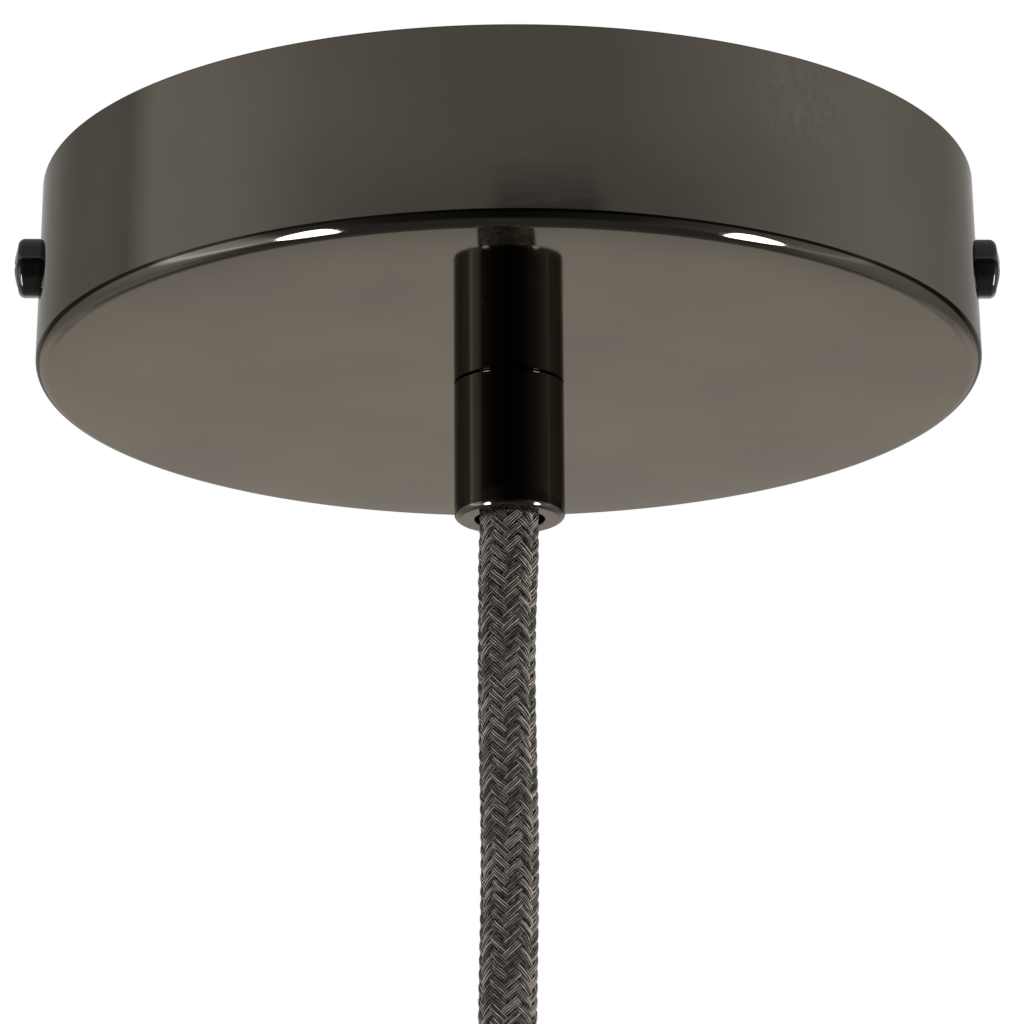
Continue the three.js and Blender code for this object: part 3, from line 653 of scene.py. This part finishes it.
# Cup: the same profile as the part's solid, turned finely, with broken edges at its rim
CUP_RADIUS, CUP_TAPER, CUP_DEPTH, CUP_WALL = 60, 0.5, 25, 0.8
CUP_EDGE_RADIUS, DISC_FLAT_RADIUS, DISC_CROWN, NIPPLE_HOLE = 1.8, 46, 0.15, 5.25
SIDE_SCREW_Z, SIDE_HOLE = -9.5, 2.3
CUP_LIP = 0.18  # rounding of the rim's two edges
CUP_SEGMENTS, HOLE_SEGMENTS = 384, 48
disc_radius = CUP_RADIUS - CUP_EDGE_RADIUS
edge_z = -CUP_DEPTH + CUP_EDGE_RADIUS
wall_slope = math.degrees(math.atan(CUP_TAPER / -edge_z))
roll_width = disc_radius - DISC_FLAT_RADIUS
disc_slope = math.degrees(math.atan(3 * DISC_CROWN / roll_width))


def disc(inside):
    """Profile of the crowned disc, outwards from its hole."""
    rows = []
    flat = np.linspace(NIPPLE_HOLE, DISC_FLAT_RADIUS, 8)
    for r in [*flat, *np.linspace(DISC_FLAT_RADIUS, disc_radius, 20)[1:]]:
        roll = max(0, r - DISC_FLAT_RADIUS) / roll_width
        slope = 3 * DISC_CROWN * roll**2 / roll_width
        size = math.hypot(1, slope)
        z = -CUP_DEPTH - DISC_CROWN * (1 - roll**3)
        if inside:
            rows.append((r, z + CUP_WALL, -slope / size, 1 / size))
        else:
            rows.append((r, z, slope / size, -1 / size))
    return rows[::-1] if inside else rows


def wall_at(z):
    """Outer radius of the tapered wall at a height."""
    return CUP_RADIUS - CUP_TAPER * (z - edge_z) / -edge_z


def wall_rows(start, end, count, inside):
    """Profile of the tapered wall between two heights."""
    lean = math.radians(wall_slope)
    inset, way = (CUP_WALL, -1) if inside else (0, 1)
    return [
        (wall_at(z) - inset, z, way * math.cos(lean), way * math.sin(lean))
        for z in np.linspace(start, end, count)
    ]


def canopy_cup():
    """The shell with its two side holes."""
    lip, top_r = CUP_LIP, wall_at(0)
    outer = disc(False)[:-1]
    outer += arc(disc_radius, edge_z, CUP_EDGE_RADIUS, -90 + disc_slope, wall_slope, 28)
    outer += wall_rows(edge_z + 0.5, -lip, 24, False)
    outer += arc(top_r - lip, -lip, lip, 2 * wall_slope, 90, 5)[1:]
    rim = line(top_r - lip, 0, top_r - CUP_WALL + lip, 0)
    inner = arc(top_r - CUP_WALL + lip, -lip, lip, 90, 180 + wall_slope, 5)
    inner += wall_rows(-lip - 0.4, edge_z + 0.5, 12, True)
    inner_edge = CUP_EDGE_RADIUS - CUP_WALL
    inner += [
        (r, z, -nr, -nz)
        for r, z, nr, nz in arc(disc_radius, edge_z, inner_edge, wall_slope, -90 + disc_slope, 10)
    ]
    inner += disc(True)[1:]
    hole = line(NIPPLE_HOLE, disc(True)[-1][1], NIPPLE_HOLE, disc(False)[0][1])
    hole = [(r, z, -1.0, 0.0) for r, z, _, _ in hole]
    sections = [outer, rim, inner, hole]
    vertices, faces, normals = turned(sections, CUP_SEGMENTS)
    shell = add_mesh("canopy_shell", vertices, faces, "black_pearl", normals)
    turn = circle(HOLE_SEGMENTS)
    outline = list(zip(SIDE_HOLE * np.cos(turn), SIDE_HOLE * np.sin(turn)))
    drill, sides = prism(outline, CUP_RADIUS - 10, CUP_RADIUS + 5)
    for way in (-1, 1):
        carve(shell, [(way * z, way * -y, x + SIDE_SCREW_Z) for x, y, z in drill], sides)
    exact_normals(shell.data, sections)
    return shell


def exact_normals(mesh, sections):
    """Normals of the turned profile at every corner, and of the drilled holes inside them."""
    rows = np.array([point for section in sections for point in section])
    corners = np.empty(len(mesh.loops), int)
    mesh.loops.foreach_get("vertex_index", corners)
    places = np.empty(3 * len(mesh.vertices))
    mesh.vertices.foreach_get("co", places)
    places = places.reshape(-1, 3)[corners] / MM
    sizes = np.empty(len(mesh.polygons), int)
    mesh.polygons.foreach_get("loop_total", sizes)
    facing = np.empty(3 * len(mesh.polygons))
    mesh.polygons.foreach_get("normal", facing)
    facing = np.repeat(facing.reshape(-1, 3), sizes, axis=0)
    owner = np.repeat(np.arange(len(sizes)), sizes)
    radius = np.hypot(places[:, 0], places[:, 1])
    out = places[:, :2] / radius[:, None]
    facing_out = np.sum(facing[:, :2] * out, axis=1)
    same_way, far, batch = 0.6, 1e4, 20000  # rows that face another way count as far off
    result = np.empty_like(places)
    for start in range(0, len(places), batch):
        part = slice(start, start + batch)
        gap = (radius[part, None] - rows[:, 0]) ** 2 + (places[part, 2][:, None] - rows[:, 1]) ** 2
        aligned = facing_out[part, None] * rows[:, 2] + facing[part, 2][:, None] * rows[:, 3]
        best = np.argmin(gap + np.where(aligned > same_way, 0, far), axis=1)
        result[part, :2] = rows[best, 2][:, None] * out[part]
        result[part, 2] = rows[best, 3]
    near = 0.02
    drilled = np.hypot(places[:, 1], places[:, 2] - SIDE_SCREW_Z) < SIDE_HOLE + near
    whole = np.bincount(owner, drilled, len(sizes)) == sizes
    bore = whole[owner] & (np.abs(facing[:, 0]) < 0.5)
    inward = -np.stack([np.zeros(len(places)), places[:, 1], places[:, 2] - SIDE_SCREW_Z], -1)
    result[bore] = inward[bore] / np.linalg.norm(inward[bore], axis=1)[:, None]
    mesh.normals_split_custom_set(result.tolist())


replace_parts(canopy_cup(), "canopy_cup")

# Cord grip
GRIP_RADIUS, GRIP_LENGTH, MOUTH_RADIUS, MOUTH_LENGTH = 7, 17.85, 4.45, 0.8
GRIP_BORE, GRIP_BORE_LENGTH = 5.1, 8.5
CLAMPED_GAP = 0.05
grip_top = -CUP_DEPTH - DISC_CROWN - CLAMPED_GAP
grip_bottom = grip_top - GRIP_LENGTH


def cord_grip():
    low, high, lip = 0.8, 0.25, 0.15  # rounding of its lower, upper and mouth edges
    outer = (
        arc(MOUTH_RADIUS + lip, grip_bottom + lip, lip, 180, 270, 4)
        + arc(GRIP_RADIUS - low, grip_bottom + low, low, -90, 0, 14)
        + line(GRIP_RADIUS, grip_bottom + low + 0.2, GRIP_RADIUS, grip_top - high - 0.1, 6)
        + arc(GRIP_RADIUS - high, grip_top - high, high, 0, 90, 6)
    )
    shoulder, mouth_top = grip_top - GRIP_BORE_LENGTH, grip_bottom + MOUTH_LENGTH
    top = line(GRIP_RADIUS - high, grip_top, GRIP_BORE, grip_top)
    bore = line(GRIP_BORE, grip_top, GRIP_BORE, shoulder, 3)
    cone = line(GRIP_BORE, shoulder, MOUTH_RADIUS, mouth_top, 3)
    mouth = line(MOUTH_RADIUS, mouth_top, MOUTH_RADIUS, grip_bottom + lip)
    vertices, faces, normals = turned([outer, top, bore, cone, mouth], 256)
    return add_mesh("grip_sleeve", vertices, faces, "black_pearl", normals)


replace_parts(cord_grip(), "cord_grip_body")

# Threaded nipple, M10x1
NIPPLE_RADIUS, NIPPLE_BORE, NIPPLE_LOW, NIPPLE_HIGH = 4.95, 3.95, -32.9, -18.85


def nipple():
    outside = threaded_rings(
        NIPPLE_RADIUS, 1, 0.5, NIPPLE_LOW, NIPPLE_HIGH, segments=96, chamfer=0.5, runout=False
    )
    inside = plain_rings([(NIPPLE_BORE, NIPPLE_HIGH), (NIPPLE_BORE, NIPPLE_LOW)], 96)
    vertices, faces = ring_stack(outside + inside, closed=True)
    return add_mesh("nipple_m10", vertices, faces, "zinc_plate", sharp=40)


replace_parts(nipple(), "threaded_nipple")


# Screws: the head sits on z = 0 and the shank runs down. Shank radius and pitch of each thread:
M2_5, M3, M4 = (1.25, 0.45), (1.45, 0.45), (2, 0.7)
CRISP = 40  # edges of a screw that bend by more degrees stay crisp


def screw(name, thread, length, head, slot, cutter):
    """A screw whose recess is cut out by the cutter's points and faces."""
    shank, pitch = thread
    small = head[0][0] < 3
    sides = 40 if small else 80
    foot, depth = head[0][1], 0.6 * pitch
    rings = threaded_rings(shank, pitch, depth, -length, foot - 0.05, sides, 0.25 * shank, True)
    rings += plain_rings([(shank - depth, foot), *head], sides)
    vertices, faces = ring_stack(rings)
    piece = add_mesh(name, vertices, faces, slot, sharp=CRISP)
    carve(piece, *cutter)
    piece.data.set_sharp_from_angle(angle=math.radians(CRISP))
    return piece


def head_profile(radius, rim, bevel, dome, foot=0.12, low=0):
    """Profile of a round head from its underside at low to its crown. foot rounds its lower edge and
    bevel its upper one, which starts at rim; dome is the height of the crown above it."""
    crown = radius - bevel
    cap = (crown**2 + dome**2) / (2 * dome)
    edge = math.degrees(math.asin(crown / cap))
    centre = rim + bevel * math.cos(math.radians(edge)) + dome - cap
    rows = arc(radius - foot, low + foot, foot, -90, 0, 4)
    rows += arc(crown, rim, bevel, 0, 90 - edge, 8)
    rows += arc(0, centre, cap, 90 - edge, 89, 8)[1:]
    return [(r, z) for r, z, _, _ in rows]


def cross_cutter(length, width, top, depth):
    """A tapered cross below a head's top."""
    l, w = length / 2, width / 2
    outline = [(l, w), (w, w), (w, l), (-w, l), (-w, w), (-l, w)]
    outline += [(-x, -y) for x, y in outline]
    return prism(outline, top - depth, top + 0.5, 0.7)


def slot_cutter(length, width, top, depth):
    """A straight slot below a head's top."""
    l, w = length / 2, width / 2
    return prism([(-l, -w), (l, -w), (l, w), (-l, w)], top - depth, top + 0.5)


def place_screw(piece, node, position, turn):
    """Turn a screw, move it to its place and let it stand for the part's own."""
    piece.data.transform(Matrix.Translation(Vector(position) * MM) @ Matrix.Rotation(*turn))
    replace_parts(piece, node)


HEAD_SEAT, HEAD_FOOT = 0.3, -0.5  # the seat stands off the wall, and the foot reaches in to it
SIDE_HEAD_X = wall_at(SIDE_SCREW_Z) + HEAD_SEAT
side_head = head_profile(radius=3.8, rim=1.7, bevel=0.85, dome=0.6, foot=0.04, low=HEAD_FOOT)
side_cross = cross_cutter(length=4, width=0.95, top=3.1, depth=1.6)
for way, side in ((1, "right"), (-1, "left")):
    made = screw(f"m4_{side}", M4, 8, side_head, "black_lacquer", side_cross)
    position = (way * SIDE_HEAD_X, 0, SIDE_SCREW_Z)
    place_screw(made, f"side_screw_{side}", position, (way * math.pi / 2, 4, "Y"))

BLOCK_X, POLE_Z, POLES = -19.5, -8, {"live": -9, "neutral": 0, "earth": 9}
CLAMP_OFFSET, CLAMP_HEAD_Z = 4.5, POLE_Z - 4.35
clamp_head = head_profile(radius=1.9, rim=1.2, bevel=0.15, dome=0.15, foot=0.08)
clamp_slot = slot_cutter(length=6, width=0.6, top=1.5, depth=0.8)
for pole, y in POLES.items():
    for side, x in (("supply", BLOCK_X - CLAMP_OFFSET), ("cord", BLOCK_X + CLAMP_OFFSET)):
        made = screw(f"m3_{pole}_{side}", M3, 3.5, clamp_head, "zinc_plate", clamp_slot)
        place_screw(made, f"clamp_screw_{pole}_{side}", (x, y, CLAMP_HEAD_Z), (math.pi, 4, "X"))

BLOCK_HEAD_Z = -11.25
block_head = head_profile(radius=2.2, rim=0.9, bevel=0.3, dome=0.4, foot=0.1)
block_cross = cross_cutter(length=2.2, width=0.6, top=1.6, depth=0.9)
for number, y in ((1, -4.5), (2, 4.5)):
    made = screw(f"m2_5_{number}", M2_5, 10.875, block_head, "zinc_plate", block_cross)
    place_screw(made, f"block_screw_{number}", (BLOCK_X, y, BLOCK_HEAD_Z), (math.pi, 4, "X"))

EARTH_X, EARTH_Z, RING_Y, RING_HALF = 21, -8.5, 13.1, 0.45
earth_head = head_profile(radius=3.9, rim=1.2, bevel=0.4, dome=0.8)
earth_cross = cross_cutter(length=3.9, width=0.9, top=2.4, depth=1.3)
made = screw("m4_earth", M4, 8, earth_head, "zinc_plate", earth_cross)
place_screw(made, "earth_screw", (EARTH_X, RING_Y + RING_HALF, EARTH_Z), (-math.pi / 2, 4, "X"))

# Cores, tails and their bare ends
CORE_ANGLE = {"live": -75, "neutral": 165, "earth": 45}
CORE_SLOT = {"live": "brown_core", "neutral": "blue_core", "earth": "earth_core"}
CORE_RADIUS, CORE_RING = 1, 1.2  # the three cores lie on a ring inside the cord
CORE_START_Z, CORE_END_X = -16.3, -11.3
PAIR_OFFSET = 1.05  # the earth pole holds two wires side by side
TAIL_START, TAIL_END, TAIL_RING, TAIL_LEAD = 0.3, 24, 3.6, 10.8
BARE_GAP, BARE_LENGTH = 0.3, 7.0  # below a tail's end
LINK_END_X = 12
CORE_LEAD, LINK_LEAD = 0.56, 0.4  # shares of a wire's run in X that its bends take
STRAND_RADIUS, STRAND_RING, STRAND_TWIST = 0.165, 0.33, 0.55
cord_end = np.array(CORD_ROUTE[-1], float)


def on_core_ring(pole, centre, radius=CORE_RING):
    """Centre of a pole's core on a ring about a point of the cord."""
    angle = math.radians(CORE_ANGLE[pole])
    return np.asarray(centre, float) + np.array([radius * math.cos(angle), radius * math.sin(angle), 0])


def conductor(pole, top):
    """Seven twisted copper strands."""
    vertices, faces = [], []
    z = np.linspace(0, -BARE_LENGTH, 30)
    for number in range(7):
        angle = np.pi / 3 * number + z * STRAND_TWIST
        out = np.stack([np.cos(angle), np.sin(angle), np.zeros_like(z)], -1)
        reach = 0.0 if number == 6 else STRAND_RING
        x, y = top[0] + reach * np.cos(angle), top[1] + reach * np.sin(angle)
        path = np.stack([x, y, top[2] + z], -1)
        v, f, _ = strand(path, out, STRAND_RADIUS, STRAND_RADIUS, 10, len(vertices), 0)
        vertices += v
        faces += f
    return add_mesh(f"{pole}_strands", vertices, faces, "bare_copper", sharp=50)


tails = []
for pole, y in POLES.items():
    start = on_core_ring(pole, (0, 0, CORE_START_Z))
    end = np.array([CORE_END_X, y - (PAIR_OFFSET if pole == "earth" else 0), POLE_Z])
    lead = np.array([(start[0] - end[0]) * CORE_LEAD, 0, 0])
    path = bezier(start, start + [0, 0, end[2] - start[2]], end + lead, end, 60)
    core = tube_piece(f"{pole}_wire", path, CORE_RADIUS, CORE_SLOT[pole])
    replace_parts(core, f"{pole}_core")
    start = on_core_ring(pole, cord_end - [0, 0, TAIL_START])
    end = on_core_ring(pole, cord_end - [0, 0, TAIL_END], TAIL_RING)
    path = bezier(start, start - [0, 0, TAIL_LEAD], end + [0, 0, TAIL_LEAD], end, 60)
    tail = tube_piece(f"{pole}_tail_wire", path, CORE_RADIUS, CORE_SLOT[pole])
    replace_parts(tail, f"{pole}_tail")
    bare = conductor(pole, on_core_ring(pole, cord_end - [0, 0, TAIL_END + BARE_GAP], TAIL_RING))
    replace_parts(bare, f"{pole}_tail_end")
    tails += [tail, bare]
start = np.array([CORE_END_X, POLES["earth"] + PAIR_OFFSET, POLE_Z])
end = np.array([LINK_END_X, RING_Y, EARTH_Z])
lead = np.array([(end[0] - start[0]) * LINK_LEAD, 0, 0])
path = bezier(start, start + lead, end - lead, end, 60)
link = tube_piece("link_wire", path, CORE_RADIUS, "earth_core")
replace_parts(link, "earth_link_wire")

# Shrink sleeves on both ends of the cord
SLEEVE_OUTER, SLEEVE_INNER, WAIST_HEIGHT = 4.2, 3.8, 2.8


def sleeve(name, centre, low, high, waist):
    """A sleeve that narrows by waist at its lower end."""
    lip = 0.12
    foot = arc(SLEEVE_OUTER - waist - lip, low + lip, lip, -90, 0, 4)
    bend = [(SLEEVE_OUTER - waist, low + 0.6, 1, 0), (SLEEVE_OUTER, low + WAIST_HEIGHT, 1, 0)]
    top = arc(SLEEVE_OUTER - lip, high - lip, lip, 0, 90, 4)
    profile = [(r, z) for r, z, _, _ in foot + bend + top]
    profile += [(SLEEVE_INNER, high), (SLEEVE_INNER, low + WAIST_HEIGHT), (SLEEVE_INNER - waist, low)]
    rings = [points + [centre[0], centre[1], 0] for points in plain_rings(profile, 64)]
    vertices, faces = ring_stack(rings, closed=True)
    return add_mesh(name, vertices, faces, "shrink_sleeve", sharp=50)


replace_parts(sleeve("top_shrink", (0, 0), low=-18.55, high=-14.35, waist=0), "cord_top_sleeve")
end_shrink = sleeve("end_shrink", cord_end, low=-116, high=-109.6, waist=0.5)
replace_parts(end_shrink, "cord_end_sleeve")
tails.append(end_shrink)


# World: white to the camera. Mirror rays meet a studio: a pale ceiling, dark walls, soft boxes low on
# both sides and a white backdrop low behind. CEILING, WALLS and LOW hold brightness by azimuth, which is
# 0 on the camera's side and positive towards +X; BACKDROP holds it by elevation. Angles are in degrees.
CEILING = [
    (-180, 0.55),
    (-148, 0.58),
    (-132, 0.46),
    (-118, 0.46),
    (-107, 0.38),
    (-97, 0.70),
    (-75, 0.66),
    (-48, 0.47),
    (-10, 0.38),
    (25, 0.38),
    (64, 0.56),
    (98, 0.66),
    (130, 0.60),
    (180, 0.55),
]
WALLS = [
    (-180, 0.38),
    (-152, 0.36),
    (-140, 0.10),
    (-120, 0.06),
    (-93, 0.10),
    (-89, 0.37),
    (-86, 0.34),
    (-82, 0.20),
    (-70, 0.14),
    (-60, 0.05),
    (-10, 0.006),
    (25, 0.006),
    (78, 0.04),
    (86, 0.06),
    (90, 0.13),
    (95, 0.06),
    (133, 0.03),
    (152, 0.34),
    (180, 0.38),
]
LOW = [
    (-180, 0.60),
    (-140, 0.50),
    (-120, 0.40),
    (-94, 0.60),
    (-87, 2.10),
    (-79, 1.10),
    (-69, 0.85),
    (-58, 0.16),
    (-30, 0.04),
    (0, 0.012),
    (30, 0.05),
    (60, 0.24),
    (84, 0.50),
    (89, 0.85),
    (96, 0.45),
    (133, 0.35),
    (180, 0.60),
]
BACKDROP = [
    (-90, 0.08),
    (-60, 0.12),
    (-45, 0.16),
    (-34, 0.30),
    (-29, 0.62),
    (-26, 0.66),
    (-25, 0.50),
    (-24, 0.70),
    (-21, 0.86),
    (-19, 0.95),
    (-17, 1.03),
    (0, 1.03),
]
UNDERFOOT, OVERHEAD = (0.10, 0.10, 0.10, 1), (0.24, 0.24, 0.24, 1)
EVEN_LIGHT = 0.2  # on dull surfaces, from all sides
CEILING_EDGE, FRONT_RISE = 18.4, 3.9  # the ceiling starts this high, and this much higher in front
FRONT_AZIMUTH, FRONT_DIMMING = 8, 0.3


def make_world():
    """White to the camera, the studio to mirror rays and an even light to all others."""
    world = bpy.data.worlds.new("studio")
    world.use_nodes = True
    scene.world = world
    world.node_tree.nodes.clear()
    node = node_maker(world.node_tree)

    def calc(operation, *values):
        return maths(node, operation, *values)

    def step(value, low, high):
        """0 at low and 1 at high, with a smooth passage; low may be the larger one."""
        return spread(node, value, low, high, kind="SMOOTHSTEP")

    def turn_step(value, low, high):
        return step(value, math.radians(low), math.radians(high))

    def around(table):
        return ramp(node, share, *((angle / 360 + 0.5, level) for angle, level in table))

    way = node("ShaderNodeTexCoord").outputs["Generated"]
    split = node("ShaderNodeSeparateXYZ", {"Vector": way})
    x, y, z = (split.outputs[axis] for axis in "XYZ")
    azimuth = calc("ARCTAN2", x, calc("MULTIPLY", y, -1.0))
    share = calc("ADD", calc("DIVIDE", azimuth, 2 * math.pi), 0.5)
    height = calc("MULTIPLY", calc("ARCSINE", z), 180 / math.pi)
    off_centre = calc("ABSOLUTE", calc("SUBTRACT", azimuth, math.radians(FRONT_AZIMUTH)))

    # Below the horizon: the soft boxes, and the backdrop behind; above it, the walls
    depth = spread(node, height, -90, 0)
    backdrop = ramp(node, depth, *(((angle + 90) / 90, level) for angle, level in BACKDROP))
    sides = blend(node, step(height, -62, -42), UNDERFOOT, around(LOW))
    below = blend(node, turn_step(calc("ABSOLUTE", azimuth), 137, 155), sides, backdrop)
    middle = blend(node, step(height, -4, 3), below, around(WALLS))

    # The ceiling, from its edge upwards; its lowest band is dimmer in front
    rise = calc("MULTIPLY", turn_step(off_centre, 34, 9), FRONT_RISE)
    above_edge = step(calc("SUBTRACT", height, calc("ADD", CEILING_EDGE, rise)), -0.1, 0.75)
    dim = calc("MULTIPLY", turn_step(off_centre, 85, 30), step(height, 23.5, 22.2))
    kept = calc("SUBTRACT", 1.0, calc("MULTIPLY", dim, FRONT_DIMMING))
    ceiling = blend(node, step(height, 26, 34), around(CEILING), OVERHEAD)
    whole = blend(node, calc("MULTIPLY", above_edge, kept), middle, ceiling)

    def background(colour, strength):
        return node("ShaderNodeBackground", {"Color": colour, "Strength": strength}).outputs[0]

    def mix(factor, first, second):
        return node("ShaderNodeMixShader", {0: factor, 1: first, 2: second}).outputs[0]

    white = (1, 1, 1, 1)
    path = node("ShaderNodeLightPath")
    lit = mix(path.outputs["Is Glossy Ray"], background(white, EVEN_LIGHT), background(whole, 1.0))
    seen = calc("MAXIMUM", path.outputs["Is Camera Ray"], path.outputs["Is Transmission Ray"])
    node("ShaderNodeOutputWorld", {"Surface": mix(seen, lit, background(white, 1.0))})


CANOPY_MIDDLE = Vector((0, 0, -0.02))


def lamp(name, azimuth, elevation, distance, size, power, roll=0, mirrored=True):
    """An elliptical soft box aimed at the canopy. Its azimuth is measured from the camera's side towards
    +X; roll turns it about its beam, and a lamp that isn't mirrored shows in no reflection."""
    a, e = math.radians(azimuth), math.radians(elevation)
    way = Vector((math.sin(a) * math.cos(e), -math.cos(a) * math.cos(e), math.sin(e)))
    data = bpy.data.lights.new(name, "AREA")
    data.shape = "ELLIPSE"
    data.size, data.size_y = size
    data.energy = power
    light = bpy.data.objects.new(name, data)
    scene.collection.objects.link(light)
    light.location = way * distance + CANOPY_MIDDLE
    aim = way.to_track_quat("Z", "Y") @ Quaternion((0, 0, 1), math.radians(roll))
    light.rotation_euler = aim.to_euler()
    light.visible_glossy = mirrored


def make_floor():
    """A pale floor that throws light up at the canopy and shows in no reflection."""
    half, depth = 1.2, -0.4
    corners = [(-half, -half, depth), (half, -half, depth), (half, half, depth), (-half, half, depth)]
    mesh = bpy.data.meshes.new("floor")
    mesh.from_pydata(corners, [], [(0, 1, 2, 3)])
    floor = bpy.data.objects.new("floor", mesh)
    scene.collection.objects.link(floor)
    material, node, wire = finish("floor_paint")
    grain = noise(node, place(node, (300, 300, 300)), 3)
    seen = node("ShaderNodeLightPath").outputs["Is Camera Ray"]
    wire(
        {
            "Base Color": ramp(node, grain, (0.3, 0.80), (0.7, 0.84)),
            "Roughness": 0.9,
            "Emission Color": (1, 1, 1, 1),
            "Emission Strength": maths(node, "MULTIPLY", seen, 0.3),
        }
    )
    mesh.materials.append(material)
    floor.visible_glossy = False


make_world()
make_floor()
lamp("lamp_left", -64, -51, distance=1.2, size=(0.24, 1.0), power=9, roll=-33)
lamp("lamp_right", 71, -44, distance=1.2, size=(0.25, 0.9), power=9, roll=33)
lamp("lamp_top", 130, 55, distance=1.4, size=(0.5, 0.5), power=9, mirrored=False)
lamp("lamp_side_left", -84, -6, distance=1.0, size=(0.3, 0.5), power=4, mirrored=False)
lamp("lamp_side_right", 84, -6, distance=1.0, size=(0.3, 0.5), power=6.5, mirrored=False)

# Looks of the part's own pieces
for row in frame["record"]["subparts"]:
    mesh = frame["nodes"][row["node"]].data
    mesh.materials.clear()
    mesh.materials.append(MATERIALS[row["material_slot"]])

# Widths of the broken edges on its folded, moulded and stamped pieces
EDGES = {
    "ceiling_bracket": 0.15,
    "lock_nut": 0.12,
    "lock_washer": 0.06,
    "earth_washer": 0.05,
    "earth_ring_terminal": 0.08,
    "terminal_block_housing": 0.18,
    "terminal_barrel_live": 0.08,
    "terminal_barrel_neutral": 0.08,
    "terminal_barrel_earth": 0.08,
    "cord_grip_collet": 0.06,
    "live_ferrule": 0.06,
    "neutral_ferrule": 0.06,
    "earth_ferrule": 0.06,
    "earth_link_ferrule": 0.06,
}
for name, width in EDGES.items():
    piece = frame["nodes"][name]
    piece.data.polygons.foreach_set("use_smooth", [True] * len(piece.data.polygons))
    weld = piece.modifiers.new("weld", "WELD")
    weld.merge_threshold = 1e-6
    flat = piece.modifiers.new("flat", "DECIMATE")
    flat.decimate_type = "DISSOLVE"
    flat.angle_limit = math.radians(0.5)
    edge = piece.modifiers.new("edge", "BEVEL")
    edge.width = width * MM
    edge.segments = 2
    edge.limit_method = "ANGLE"
    edge.angle_limit = math.radians(40)
    shade = piece.modifiers.new("shade", "WEIGHTED_NORMAL")
    shade.weight = 60
